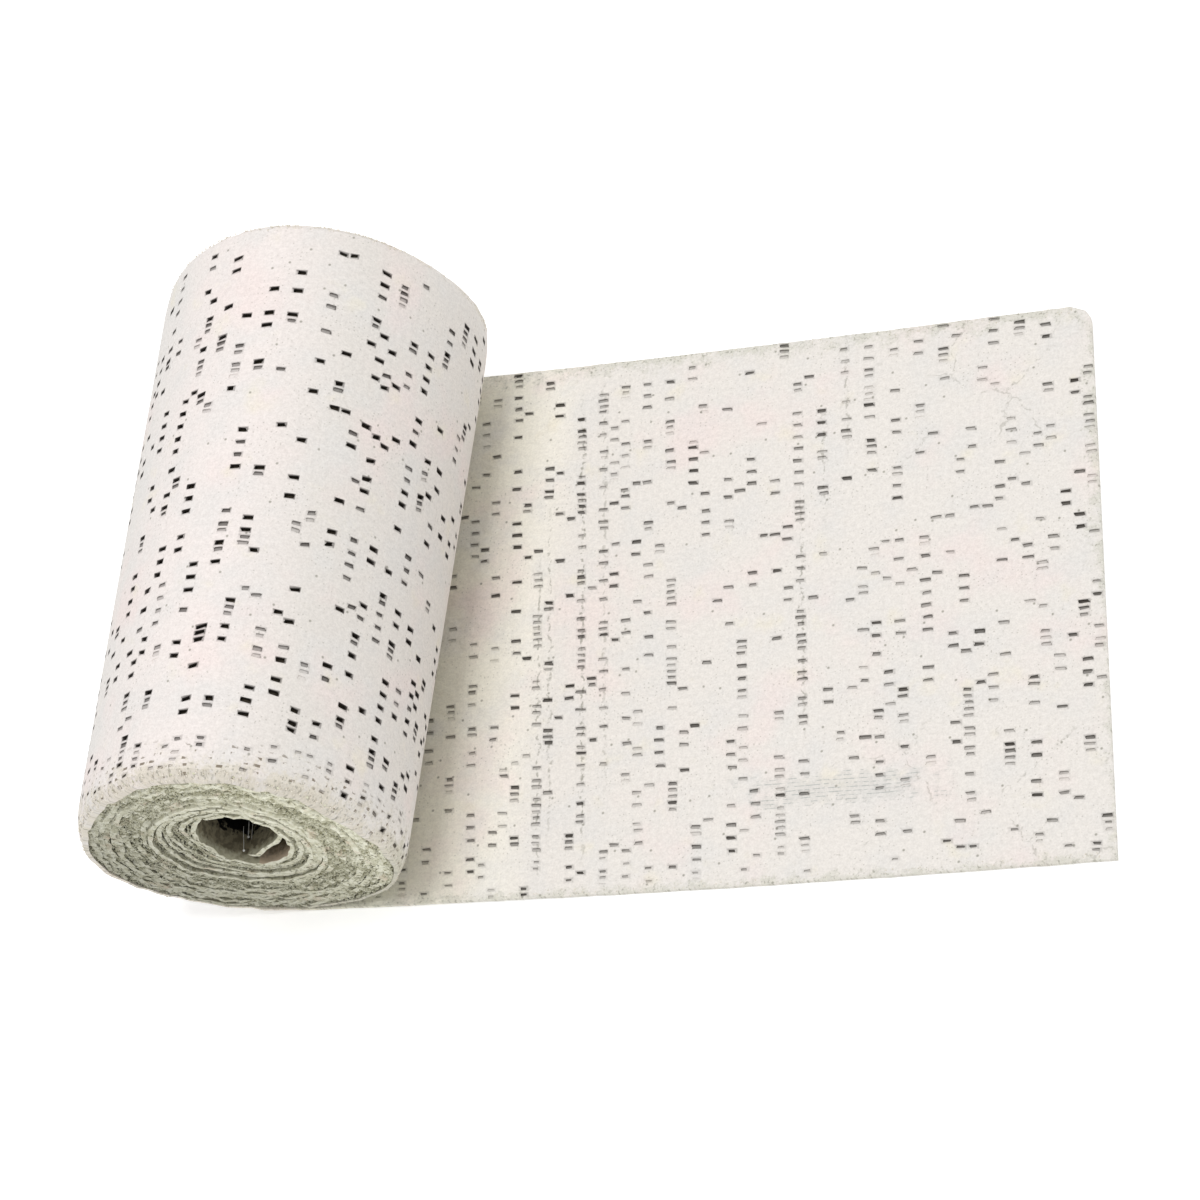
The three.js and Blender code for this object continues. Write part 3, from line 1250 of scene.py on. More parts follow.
def new_material(name: str) -> tuple[bpy.types.Material, Tree, bpy.types.Node]:
    """Make a material with a matt, chalky shader.

    Args:
        name: what the material is.

    Returns:
        The material, its node tree and its shader node.
    """
    material = bpy.data.materials.new(name)
    material.use_nodes = True
    shader = material.node_tree.nodes["Principled BSDF"]
    shader.inputs["Roughness"].default_value = CHALKY_ROUGHNESS
    shader.inputs["Specular IOR Level"].default_value = 0.15
    return material, material.node_tree, shader


def strip_place(tree: Tree) -> Socket:
    """The place on the strip in mm: X along it and Y across it."""
    uv = add_node(tree, "ShaderNodeUVMap", uv_map=STRIP_UV)
    return add_node(tree, VECTOR_MATH, (uv, 1 / MM), operation="SCALE")


def object_place(tree: Tree) -> Socket:
    """The place in the object's own space, in mm."""
    place = add_node(tree, "ShaderNodeTexCoord").node.outputs["Object"]
    return add_node(tree, VECTOR_MATH, (place, 1 / MM), operation="SCALE")


def hollow_shade(tree: Tree) -> Socket:
    """The painted shade kept in the mesh's corners: 1 is unshaded and 0 is a dark hollow."""
    return add_node(tree, "ShaderNodeAttribute", attribute_name=SHADE).node.outputs["Fac"]


def end_painted_light_and_shade(tree: Tree, at: Socket, colour: Socket, left_x: float) -> Socket:
    """A colour of the roll's ends, with painted shade towards their low left side and painted light towards
    their upper right.

    Args:
        tree: the material's node tree.
        at: the place in the object's space, in mm.
        colour: the colour's socket.
        left_x: X of the roll's left side, in mm.

    Returns:
        The colour's socket, with the painted light and shade.
    """
    sides = add_node(tree, SEPARATE, (at,)).node.outputs
    reach = add_node(tree, MATH, (sides["Z"], 0.6, sides["X"]), operation="MULTIPLY_ADD")
    # Painted light and shade across the ends: darker towards the low left, lighter towards the upper right
    light = add_node(tree, MAP_RANGE, (reach, left_x + 10, left_x + 70, 0.57, 1.17))
    return add_node(tree, VECTOR_MATH, (colour, light), operation="SCALE")


@dataclass(frozen=True)
class PlasterGauze:
    """Plaster of Paris rubbed dry into an open-woven cotton gauze.

    It looks matt and chalky, faintly mottled in pink and cream, and raw and pitted along its edges. Its
    hollows are darkened with painted shade, and bands along the strip carry painted light and shade. The
    plaster's real grain, about 0.05 mm, is too fine to show, so it is drawn at 0.35 to 0.8 mm.
    """

    turn_length: float
    nip_x: float
    end_along: float
    end_skew: float
    cracks: tuple[tuple[int, FaultLine], ...]
    first: str = "E1DCD6"
    # Painted light and shade: lighter and darker bands round the roll, and pale olive bands that lift the
    # shade beside the nip
    painted_bands: tuple[Tone, ...] = (
        Tone(50, 62, "DDD8D2"),
        Tone(66, 80, "E7DFDB"),
        Tone(92, 108, "E1DDD9"),
        Tone(150, 172, "EAE8D6"),
        Tone(184, 196, "F1EDDF"),
        Tone(198, 212, "E3DED8"),
    )
    tints: tuple[Tint, ...] = (
        Tint("DCDAD7", 0.55, Patches(9, 0.42, 0.7)),
        Tint("EBDAD6", 0.5, Patches(16, 0.5, 0.72, 1)),
        Tint("E6DFCC", 0.55, Patches(7, 0.58, 0.78, 2)),
    )
    roll_edge: str = "D4CCB9"
    low_edge: str = "B2B098"
    loose_edge: str = "C9C8BB"
    edge_strength: float = 0.62
    roll_edge_reach: tuple[float, float] = (5.8, 1.8)
    loose_edge_reach: tuple[float, float] = (2.0, 3.6)
    low_side: tuple[float, float] = (44.0, 28.0)
    edge_broad: Patches = Patches(2.6, 0.2, 0.8, 17)
    edge_fine: Patches = Patches(0.5, 0.15, 0.85, 3)
    edge_pits: Patches = Patches(0.55, 0.54, 0.64, 6)
    # Painted shade: dark brown in the small gaps between the yarns at the near rim
    rim_gap_shade: str = "6B5D49"
    rim_gap_strength: float = 0.8
    rim_gap_half: tuple[float, float] = (0.27, 0.19)
    rim_gap_reach: tuple[float, float] = (6.6, 4.6)
    rim_gap_patches: Patches = Patches(1.7, 0.5, 0.6, 21)
    crack: str = "8E8C80"
    crack_place: float = 0.62
    crack_half: tuple[float, float] = (0.15, 0.05)
    crack_breaks: Patches = Patches(1.0, 0.45, 0.58, 4)
    vein_strength: float = 0.36
    vein_spacing: float = 17.0
    vein_bend: float = 6.0
    vein_half: tuple[float, float] = (0.015, 0.004)
    vein_edge_reach: tuple[float, float] = (30.0, 22.0)
    vein_start: tuple[float, float] = (78.0, 94.0)
    vein_breaks: tuple[Patches, ...] = (Patches(1.2, 0.42, 0.56, 11), Patches(11, 0.44, 0.54, 15))
    bare: str = "B4B6B2"
    bare_at: tuple[float, float] = (91.0, 16.0)
    bare_half: tuple[float, float] = (15.0, 2.6)
    bare_ragged: Patches = Patches(2.2, 0.3, 0.7, 12)
    bare_yarns: float = 1.6
    bare_breaks: Patches = Patches(0.9, 0.4, 0.55, 14)
    dots: Pinholes = Pinholes(3.1, 0.2, 0.12)
    dot_strength: float = 0.75
    fine_dots: Pinholes = Pinholes(0.8, 0.11, 0.3)
    fine_dot_strength: float = 0.4
    fine_dot_zones: Patches = Patches(8, 0.42, 0.6, 13)
    grains: tuple[Patches, ...] = (Patches(0.8, 0.3, 0.7, 7), Patches(0.35, 0.35, 0.65, 16))
    grain_depth: float = 0.08
    grain_floor: float = 0.91
    # Dark colours of the painted shade in open cells and recesses, on the roll and on the loose end
    hollow_shade_roll: str = "2A231E"
    hollow_shade_loose: str = "3A352F"
    # Painted shade gathers along each hollow's far side and right end
    far_shade: tuple[float, float] = (0.56, 0.72)
    right_shade: tuple[float, float] = (0.78, 0.88)
    deepest: float = 0.55
    yarn_sharpness: tuple[float, float] = (0.35, 0.5)
    relief_grain: Patches = Patches(0.55, 0.25, 0.75, 8)
    relief_lumps: Patches = Patches(2.4, 0.3, 0.7, 9)
    relief_height: float = 0.00012

    def tone(self, tree: Tree, at: Socket, along: Socket) -> Socket:
        """The mottled white of the plaster, with painted light and shade in bands along the strip.

        Args:
            tree: the material's node tree.
            at: the place on the strip, in mm.
            along: the place along it, in mm.

        Returns:
            The colour's socket.
        """
        base: Any = hex_to_linear(self.first)
        for tone in self.painted_bands:
            share = add_node(tree, MAP_RANGE, (along, tone.start, tone.end))
            base = add_node(tree, MIX, (share, base, hex_to_linear(tone.colour)), data_type="RGBA")
        for tint in self.tints:
            share = add_node(tree, MATH, (tint.patches.mask(tree, at), tint.strength), operation="MULTIPLY")
            base = add_node(tree, MIX, (share, base, hex_to_linear(tint.colour)), data_type="RGBA")
        return base

    def nearest_edge(self, tree: Tree, across: Socket) -> Socket:
        """Distance to the nearer of the strip's long edges, in mm."""
        to_far = add_node(tree, MATH, (ACROSS, across), operation="SUBTRACT")
        return add_node(tree, MATH, (across, to_far), operation="MINIMUM")

    def edge(
        self, tree: Tree, at: Socket, along: Socket, across: Socket, loose: Socket
    ) -> tuple[Socket, Socket]:
        """How raw the cloth is, in specks that thicken towards its edges.

        Args:
            tree: the material's node tree.
            at: the place on the strip, in mm.
            along: the place along the strip, in mm.
            across: the place across it, in mm.
            loose: 0 on the roll and 1 on the loose end.

        Returns:
            The mask's socket, and how near the roll's low right side the place is.
        """
        end = add_node(tree, MATH, (across, -self.end_skew, self.end_along + 0.6), operation="MULTIPLY_ADD")
        to_end = add_node(tree, MATH, (end, along), operation="SUBTRACT")
        nearest = add_node(tree, MATH, (self.nearest_edge(tree, across), to_end), operation="MINIMUM")
        far = add_node(tree, MATH, (across, ACROSS / 2), operation="GREATER_THAN")
        on_roll = add_node(tree, MIX, (far, *self.roll_edge_reach))
        on_loose = add_node(tree, MIX, (far, *self.loose_edge_reach))
        reach = add_node(tree, MIX, (loose, on_roll, on_loose))
        share = add_node(tree, MATH, (nearest, reach), operation="DIVIDE")
        low_side = add_node(tree, MAP_RANGE, (along, *self.low_side))
        broad = add_node(tree, MATH, (self.edge_broad.mask(tree, at), 0.6), operation="MULTIPLY")
        fine = self.edge_fine.mask(tree, at)
        speckle = add_node(tree, MATH, (fine, 0.4, broad), operation="MULTIPLY_ADD")
        speckle = add_node(tree, MATH, (low_side, 0.2, speckle), operation="MULTIPLY_ADD")
        rawness = add_node(tree, MATH, (share, -0.5, speckle), operation="MULTIPLY_ADD")
        not_loose = add_node(tree, MATH, (1.0, loose), operation="SUBTRACT")
        far_roll = add_node(tree, MATH, (far, not_loose), operation="MULTIPLY")
        most = add_node(tree, MATH, (far_roll, -0.6, 1.0), operation="MULTIPLY_ADD")
        ends = (rawness, 0.1, 0.6, 0.0, most)
        return add_node(tree, MAP_RANGE, ends, interpolation_type="SMOOTHSTEP"), low_side

    def crack_mask(self, tree: Tree, at: Socket, column: Socket, across: Socket) -> Socket:
        """Fine broken cracks along the columns of thin cells.

        Args:
            tree: the material's node tree.
            at: the place on the strip, in mm.
            column: the weave column, with its fraction.
            across: the place across the strip, in mm.

        Returns:
            The mask's socket.
        """
        noise = add_node(tree, NOISE, {"Vector": at, "Scale": 0.4, "Detail": 4.0, "Roughness": 0.6})
        sway = add_node(tree, MATH, (noise, 1.4, -0.7), operation="MULTIPLY_ADD")
        wobbly = add_node(tree, MATH, (column, sway), operation="ADD")
        total: Any = 0.0
        for number, fault in self.cracks:
            off = add_node(tree, MATH, (wobbly, number + self.crack_place), operation="SUBTRACT")
            off = add_node(tree, MATH, (off,), operation="ABSOLUTE")
            line = add_node(tree, MAP_RANGE, (off, *self.crack_half, 0.0, fault.crack))
            middle, half = (fault.y_from + fault.y_to) / 2, (fault.y_to - fault.y_from) / 2
            off = add_node(tree, MATH, (across, middle), operation="SUBTRACT")
            off = add_node(tree, MATH, (off,), operation="ABSOLUTE")
            within = add_node(tree, MAP_RANGE, (off, half + 4, half - 6))
            crack = add_node(tree, MATH, (line, within), operation="MULTIPLY")
            total = add_node(tree, MATH, (total, crack), operation="MAXIMUM")
        return add_node(tree, MATH, (total, self.crack_breaks.mask(tree, at)), operation="MULTIPLY")

    def veins(self, tree: Tree, at: Socket, along: Socket, across: Socket) -> Socket:
        """Branching hairlines near the long edges of the loose end's outer half.

        Args:
            tree: the material's node tree.
            at: the place on the strip, in mm.
            along: the place along it, in mm.
            across: the place across it, in mm.

        Returns:
            The mask's socket.
        """
        noise = add_node(tree, NOISE, {"Vector": at, "Scale": 0.16, "Detail": 4.0, "Roughness": 0.65})
        bend = add_node(tree, VECTOR_MATH, (noise.node.outputs["Color"], self.vein_bend), operation="SCALE")
        bent = add_node(tree, VECTOR_MATH, (at, bend), operation="ADD")
        grid = {"Vector": bent, "Scale": 1 / self.vein_spacing}
        cells = add_node(tree, VORONOI, grid, voronoi_dimensions="2D", feature="DISTANCE_TO_EDGE")
        mask = add_node(tree, MAP_RANGE, (cells, *self.vein_half))
        beside = add_node(tree, MAP_RANGE, (self.nearest_edge(tree, across), *self.vein_edge_reach))
        start, full = (self.turn_length - self.nip_x + x for x in self.vein_start)
        outer = add_node(tree, MAP_RANGE, (along, start, full))
        for part in (beside, outer, *(patches.mask(tree, at) for patches in self.vein_breaks)):
            mask = add_node(tree, MATH, (mask, part), operation="MULTIPLY")
        return mask

    def bare_patch(self, tree: Tree, at: Socket, along: Socket, across: Socket, row: Socket) -> Socket:
        """Bare yarns showing in one patch of the loose end.

        Args:
            tree: the material's node tree.
            at: the place on the strip, in mm.
            along: the place along the strip, in mm.
            across: the place across it, in mm.
            row: the weave row, with its fraction.

        Returns:
            The mask's socket.
        """
        middle = (self.turn_length - self.nip_x + self.bare_at[0], self.bare_at[1])
        shares = []
        for place, centre, half in zip((along, across), middle, self.bare_half):
            off = add_node(tree, MATH, (place, centre), operation="SUBTRACT")
            off = add_node(tree, MATH, (off,), operation="ABSOLUTE")
            shares.append(add_node(tree, MATH, (off, half), operation="DIVIDE"))
        reach = add_node(tree, MATH, shares, operation="MAXIMUM")
        ragged = (self.bare_ragged.mask(tree, at), 0.9, reach)
        patch = add_node(tree, MAP_RANGE, (add_node(tree, MATH, ragged, operation="MULTIPLY_ADD"), 1.5, 1.1))
        counted = add_node(tree, MATH, (row, self.bare_yarns), operation="MULTIPLY")
        yarn = add_node(tree, MATH, (counted, 0.5), operation="PINGPONG")
        yarn = add_node(tree, MAP_RANGE, (yarn, 0.34, 0.44))
        yarn = add_node(tree, MATH, (yarn, self.bare_breaks.mask(tree, at)), operation="MULTIPLY")
        gauze = add_node(tree, MATH, (yarn, 0.75, 0.2), operation="MULTIPLY_ADD")
        return add_node(tree, MATH, (gauze, patch), operation="MULTIPLY")

    def rim_mesh(self, tree: Tree, at: Socket, inside: list[Socket], across: Socket, loose: Socket) -> Socket:
        """Small gaps between the yarns where the plaster is thin, at the outer turn's near rim, drawn as
        painted shade.

        Args:
            tree: the material's node tree.
            at: the place on the strip, in mm.
            inside: the place inside the weave cell, along and across, from 0 to 1.
            across: the place across the strip, in mm.
            loose: 0 on the roll and 1 on the loose end.

        Returns:
            The mask's socket.
        """
        sides = [
            add_node(tree, MATH, (place, 0.5, half), operation="COMPARE")
            for place, half in zip(inside, self.rim_gap_half)
        ]
        mask = add_node(tree, MATH, sides, operation="MULTIPLY")
        near = add_node(tree, MAP_RANGE, (across, *self.rim_gap_reach))
        on_roll = add_node(tree, MATH, (1.0, loose), operation="SUBTRACT")
        for part in (near, on_roll, self.rim_gap_patches.mask(tree, at), self.rim_gap_strength):
            mask = add_node(tree, MATH, (mask, part), operation="MULTIPLY")
        return mask

    def cell_shade(self, tree: Tree, inside: list[Socket], loose: Socket) -> Socket:
        """The hollows' painted shade, darker along the far side and the right end of each thin cell.

        Args:
            tree: the material's node tree.
            inside: the place inside the weave cell, along and across, from 0 to 1.
            loose: 0 on the roll and 1 on the loose end.

        Returns:
            The shade's socket.
        """
        shade = hollow_shade(tree)
        flipped = add_node(tree, MATH, (1.0, inside[0]), operation="SUBTRACT")
        right = add_node(tree, MIX, (loose, flipped, inside[0]))
        far_band = add_node(tree, MAP_RANGE, (inside[1], *self.far_shade))
        right_band = add_node(tree, MAP_RANGE, (right, *self.right_shade))
        band = add_node(tree, MATH, (far_band, right_band), operation="MAXIMUM")
        hollow = add_node(tree, MATH, (1.0, shade), operation="SUBTRACT")
        depth = add_node(tree, MATH, (hollow, 1.6), operation="MULTIPLY")
        depth = add_node(tree, MATH, (depth, self.deepest), operation="MINIMUM")
        depth = add_node(tree, MATH, (band, depth), operation="MULTIPLY")
        keep = add_node(tree, MATH, (1.0, depth), operation="SUBTRACT")
        return add_node(tree, MATH, (shade, keep), operation="MULTIPLY")

    def marks(self, tree: Tree, at: Socket, edge: Socket, shade: Socket) -> Socket:
        """Pits along the edges, and pinholes all over.

        Args:
            tree: the material's node tree.
            at: the place on the strip, in mm.
            edge: how raw the cloth is.
            shade: the hollows' painted shade. No pits lie in a hollow.

        Returns:
            The mask's socket.
        """
        flat = add_node(tree, MATH, (shade, 0.97), operation="GREATER_THAN")
        pits = self.edge_pits.mask(tree, at)
        for part in (edge, flat, 0.6):
            pits = add_node(tree, MATH, (pits, part), operation="MULTIPLY")
        dots = add_node(tree, MATH, (self.dots.mask(tree, at), self.dot_strength), operation="MULTIPLY")
        fine = self.fine_dots.mask(tree, at)
        for part in (self.fine_dot_strength, self.fine_dot_zones.mask(tree, at)):
            fine = add_node(tree, MATH, (fine, part), operation="MULTIPLY")
        marks = add_node(tree, MATH, (dots, fine), operation="MAXIMUM")
        return add_node(tree, MATH, (pits, marks), operation="MAXIMUM")

    def relief(self, tree: Tree, at: Socket, weave: Socket) -> Socket:
        """The yarns' faint relief under the plaster, and its grain, as a bumped normal.

        Args:
            tree: the material's node tree.
            at: the place on the strip, in mm.
            weave: the weave's column and row, with their fractions.

        Returns:
            The normal's socket.
        """
        turned = add_node(tree, VECTOR_MATH, (weave, math.pi), operation="SCALE")
        wave = add_node(tree, VECTOR_MATH, (turned,), operation="SINE")
        yarns = []
        for side, sharpness in zip(add_node(tree, SEPARATE, (wave,)).node.outputs, self.yarn_sharpness):
            side = add_node(tree, MATH, (side,), operation="ABSOLUTE")
            yarns.append(add_node(tree, MATH, (side, sharpness), operation="POWER"))
        gaps = add_node(tree, MATH, yarns, operation="MINIMUM")
        grain, lumps = self.relief_grain.mask(tree, at), self.relief_lumps.mask(tree, at)
        height = add_node(tree, MATH, (grain, 0.45, lumps), operation="MULTIPLY_ADD")
        height = add_node(tree, MATH, (gaps, -0.3, height), operation="MULTIPLY_ADD")
        bump = {"Height": height, "Strength": 0.5, "Distance": self.relief_height}
        return add_node(tree, "ShaderNodeBump", bump)

    def build(self) -> bpy.types.Material:
        """Make the material.

        Returns:
            The material.
        """
        material, tree, shader = new_material("plaster_gauze")
        at = strip_place(tree)
        along, across = add_node(tree, SEPARATE, (at,)).node.outputs[:2]
        weave = add_node(tree, "ShaderNodeUVMap", uv_map=WEAVE_UV)
        column, row = add_node(tree, SEPARATE, (weave,)).node.outputs[:2]
        inside = [add_node(tree, MATH, (place,), operation="FRACT") for place in (column, row)]
        loose = add_node(tree, MAP_RANGE, (along, self.turn_length - 10, self.turn_length + 12))
        shade = self.cell_shade(tree, inside, loose)
        edge, low_side = self.edge(tree, at, along, across, loose)
        sides = (low_side, hex_to_linear(self.roll_edge), hex_to_linear(self.low_edge))
        raw = add_node(tree, MIX, sides, data_type="RGBA")
        raw = add_node(tree, MIX, (loose, raw, hex_to_linear(self.loose_edge)), data_type="RGBA")
        rawness = add_node(tree, MATH, (edge, self.edge_strength), operation="MULTIPLY")
        cracks = self.crack_mask(tree, at, column, across)
        veins = self.veins(tree, at, along, across)
        veins = add_node(tree, MATH, (veins, self.vein_strength), operation="MULTIPLY")
        lines = add_node(tree, MATH, (cracks, veins), operation="MAXIMUM")
        colour = self.tone(tree, at, along)
        for mask, over in (
            (rawness, raw),
            (self.rim_mesh(tree, at, inside, across, loose), hex_to_linear(self.rim_gap_shade)),
            (self.bare_patch(tree, at, along, across, row), hex_to_linear(self.bare)),
            (lines, hex_to_linear(self.crack)),
            (self.marks(tree, at, edge, shade), hex_to_linear(self.crack)),
        ):
            colour = add_node(tree, MIX, (mask, colour, over), data_type="RGBA")
        grain: Any = self.grain_floor
        for patches in self.grains:
            parts = (patches.mask(tree, at), self.grain_depth, grain)
            grain = add_node(tree, MATH, parts, operation="MULTIPLY_ADD")
        colour = add_node(tree, VECTOR_MATH, (colour, grain), operation="SCALE")
        # Painted shade: the corner shade mixes the plaster towards the dark hollow colours
        hollows = (loose, hex_to_linear(self.hollow_shade_roll), hex_to_linear(self.hollow_shade_loose))
        hollow = add_node(tree, MIX, hollows, data_type="RGBA")
        colour = add_node(tree, MIX, (shade, hollow, colour), data_type="RGBA")
        tree.links.new(colour, shader.inputs["Base Color"])
        tree.links.new(self.relief(tree, at, weave), shader.inputs["Normal"])
        return material


@dataclass(frozen=True)
class RawEdge:
    """Cut edges of plaster-filled gauze: greenish grey, with tan yarn ends, dark pits, crumbly relief and
    painted shade.
    """

    left_x: float
    light: str = "E2E1CF"
    dull: str = "C6C4AC"
    dull_patches: Patches = Patches(1.0, 0.35, 0.68)
    tan: str = "CDB9A3"
    tan_strength: float = 0.6
    tan_patches: Patches = Patches(3.0, 0.55, 0.75, 1)
    # Colour of the dark pits, and of the painted shade between the turns
    pit_and_shade: str = "646049"
    pit_strength: float = 0.75
    pit_patches: Patches = Patches(0.7, 0.56, 0.66, 2)
    crumble: Patches = Patches(0.45, 0.2, 0.8, 3)

    def build(self) -> bpy.types.Material:
        """Make the material.

        Returns:
            The material.
        """
        material, tree, shader = new_material("raw_gauze_edge")
        at = object_place(tree)
        colour: Any = hex_to_linear(self.light)
        for patches, strength, over in (
            (self.dull_patches, 1.0, self.dull),
            (self.tan_patches, self.tan_strength, self.tan),
            (self.pit_patches, self.pit_strength, self.pit_and_shade),
        ):
            mask = add_node(tree, MATH, (patches.mask(tree, at), strength), operation="MULTIPLY")
            colour = add_node(tree, MIX, (mask, colour, hex_to_linear(over)), data_type="RGBA")
        colour = end_painted_light_and_shade(tree, at, colour, self.left_x)
        # Painted shade: the corner shade darkens the edges towards the pit colour between the turns
        shaded = (hollow_shade(tree), hex_to_linear(self.pit_and_shade), colour)
        colour = add_node(tree, MIX, shaded, data_type="RGBA")
        tree.links.new(colour, shader.inputs["Base Color"])
        bump = {"Height": self.crumble.mask(tree, at), "Strength": 0.7, "Distance": 0.0002}
        tree.links.new(add_node(tree, "ShaderNodeBump", bump), shader.inputs["Normal"])
        return material


@dataclass(frozen=True)
class CoreWall:
    """The core hole's lining: gauze darkened by painted shade behind its mouth, ending in a jagged painted
    shadow.

    The depths in mm at which the painted shade and the painted shadow set in are those of the least deep
    patches and teeth.
    """

    name: str
    mouth: str
    inside: str
    patch: str
    # Painted shadow deep in the core, and the depths where the painted shade and the shadow set in
    painted_shadow: str = "080705"
    painted_shade_depths: tuple[float, float] = (-0.3, 1.4)
    shade_unevenness: float = 1.1
    shadow_depths: tuple[float, float] = (3.85, 4.45)
    tooth_depth: float = 1.7
    width: float = 99.8
    cloth_patches: Patches = Patches(1.3, 0.4, 0.6)
    dull_patches: Patches = Patches(0.9, 0.3, 0.7, 1)
    teeth: Patches = Patches(1.0, 0.35, 0.65, 2)

    def build(self) -> bpy.types.Material:
        """Make the material.

        Returns:
            The material.
        """
        material, tree, shader = new_material(self.name)
        at = strip_place(tree)
        across = add_node(tree, SEPARATE, (at,)).node.outputs["Y"]
        from_far = add_node(tree, MATH, (self.width, across), operation="SUBTRACT")
        depth = add_node(tree, MATH, (across, from_far), operation="MINIMUM")
        cloth = (self.cloth_patches.mask(tree, at), hex_to_linear(self.inside), hex_to_linear(self.patch))
        inside = add_node(tree, MIX, cloth, data_type="RGBA")
        colour: Any = hex_to_linear(self.mouth)
        for patches, reach, ends, over in (
            (self.dull_patches, self.shade_unevenness, self.painted_shade_depths, inside),
            (self.teeth, self.tooth_depth, self.shadow_depths, hex_to_linear(self.painted_shadow)),
        ):
            parts = (patches.mask(tree, at), -reach, depth)
            uneven = add_node(tree, MATH, parts, operation="MULTIPLY_ADD")
            mask = add_node(tree, MAP_RANGE, (uneven, *ends))
            colour = add_node(tree, MIX, (mask, colour, over), data_type="RGBA")
        tree.links.new(colour, shader.inputs["Base Color"])
        return material


@dataclass(frozen=True)
class MottledCloth:
    """A mottled finish: a colour, and a second one in patches of a size in mm.

    With the roll's left side given, it gets the painted shade of the roll's ends towards their low left side,
    and painted light towards their upper right.
    """

    name: str
    colour: str
    second: str
    size: float = 1.5
    left_x: float | None = None

    def build(self) -> bpy.types.Material:
        """Make the material.

        Returns:
            The material.
        """
        material, tree, shader = new_material(self.name)
        at = object_place(tree)
        mask = Patches(self.size, 0.38, 0.64).mask(tree, at)
        colours = (mask, hex_to_linear(self.colour), hex_to_linear(self.second))
        colour = add_node(tree, MIX, colours, data_type="RGBA")
        if self.left_x is not None:
            colour = end_painted_light_and_shade(tree, at, colour, self.left_x)
        tree.links.new(colour, shader.inputs["Base Color"])
        return material


@dataclass
class Finishes:
    """Every material of the roll."""

    outer: OuterStrip
    left_x: float

    def __post_init__(self) -> None:
        """Make the materials."""
        edges = self.outer.edges
        turn_length = self.outer.turn_length
        end_along = turn_length + edges.loose_near_x - edges.nip_x
        cracked = self.outer.cracked()
        # Plaster gauze: the white, matt cloth that nearly all of the object shows
        self.cloth = PlasterGauze(turn_length, edges.nip_x, end_along, edges.end_skew, cracked).build()
        # Cut gauze edges: they make the roll's ends look greenish and crumbly
        self.rim = RawEdge(self.left_x).build()
        # Painted shade: gauze between the turns coloured dark brown, so that the gaps between them look dark
        self.painted_gap_shade = MottledCloth("painted_shade_turns", "443D33", "2C2720").build()
        # Innermost turn: grey cloth with painted shade that deepens into a painted shadow a few millimetres
        # in
        self.core = CoreWall("core_wall", "B9B69E", "867F69", "655E4C").build()
        # The core behind the flap: gauze with little plaster, so that the tan cotton shows, with the same
        # painted shade and shadow further in
        self.pocket = CoreWall("tan_gauze", "C4B29C", "7D705A", "4F4636", painted_shade_depths=(0.6, 2.8)).build()
        # Cotton yarn, bleached: the palest thing in the core hole
        self.yarn = MottledCloth("white_yarn", "F2F2EE", "DAD9D0", 0.5).build()
        # Crumbled plaster on the outer turn and the loose end: as pale as the cloth
        self.pale = MottledCloth("pale_plaster", "E3DDD2", "D6D0C2", 2.0).build()
        # Crumbled plaster on the roll's ends: as dull as the edges that it lies on, with their painted light
        # and shade
        self.dull = MottledCloth("dull_plaster", "CDCCB8", "ABA991", 1.2, self.left_x).build()

    def wound(self) -> list[bpy.types.Material]:
        """The wound turns' materials, in the order of their Lining numbers."""
        return [self.rim, self.painted_gap_shade, self.core, self.pocket]


def new_tree(name: str, labels: Sequence[str], whole: Sequence[str] = ()) -> Tree:
    """Make a Geometry Nodes tree with a geometry and named numbers as its inputs.

    Args:
        name: the tree's name.
        labels: names of the inputs that are lengths or densities.
        whole: names of the inputs that are whole numbers, which come after them.

    Returns:
        The tree.
    """
    tree = bpy.data.node_groups.new(name, "GeometryNodeTree")
    tree.interface.new_socket("Geometry", in_out="INPUT", socket_type="NodeSocketGeometry")
    for label in labels:
        tree.interface.new_socket(label, in_out="INPUT", socket_type="NodeSocketFloat")
    for label in whole:
        tree.interface.new_socket(label, in_out="INPUT", socket_type="NodeSocketInt")
    tree.interface.new_socket("Geometry", in_out="OUTPUT", socket_type="NodeSocketGeometry")
    return tree


def end_tree(tree: Tree, geometry: Socket, finish: bpy.types.Material) -> None:
    """End a Geometry Nodes tree: instances made real, and the material set.

    Args:
        tree: the tree.
        geometry: the socket of what it has made.
        finish: the material.
    """
    real = add_node(tree, "GeometryNodeRealizeInstances", (geometry,))
    done = add_node(tree, "GeometryNodeSetMaterial", {"Geometry": real, "Material": finish})
    add_node(tree, "NodeGroupOutput", (done,))


def grown(
    carrier: bpy.types.Object, tree: Tree, name: str, values: Sequence[float], finish: bpy.types.Material
) -> bpy.types.Object:
    """Evaluate a node tree on a carrier and keep the result as a plain object.

    Args:
        carrier: the object that the tree starts from. It is removed.
        tree: the Geometry Nodes tree.
        name: the result's name.
        values: the tree's inputs after its geometry, in order.
        finish: the result's material.

    Returns:
        The result, linked to the scene.
    """
    modifier = carrier.modifiers.new("grow", "NODES")
    modifier.node_group = tree
    sockets = [s for s in tree.interface.items_tree if s.in_out == "INPUT"][1:]
    for socket, value in zip(sockets, values):
        modifier[socket.identifier] = value
    view = bpy.context.evaluated_depsgraph_get()
    view.update()
    mesh = bpy.data.meshes.new_from_object(carrier.evaluated_get(view))
    mesh.name = name
    mesh.materials.clear()
    mesh.materials.append(finish)
    bpy.data.objects.remove(carrier)
    return linked(name, mesh)


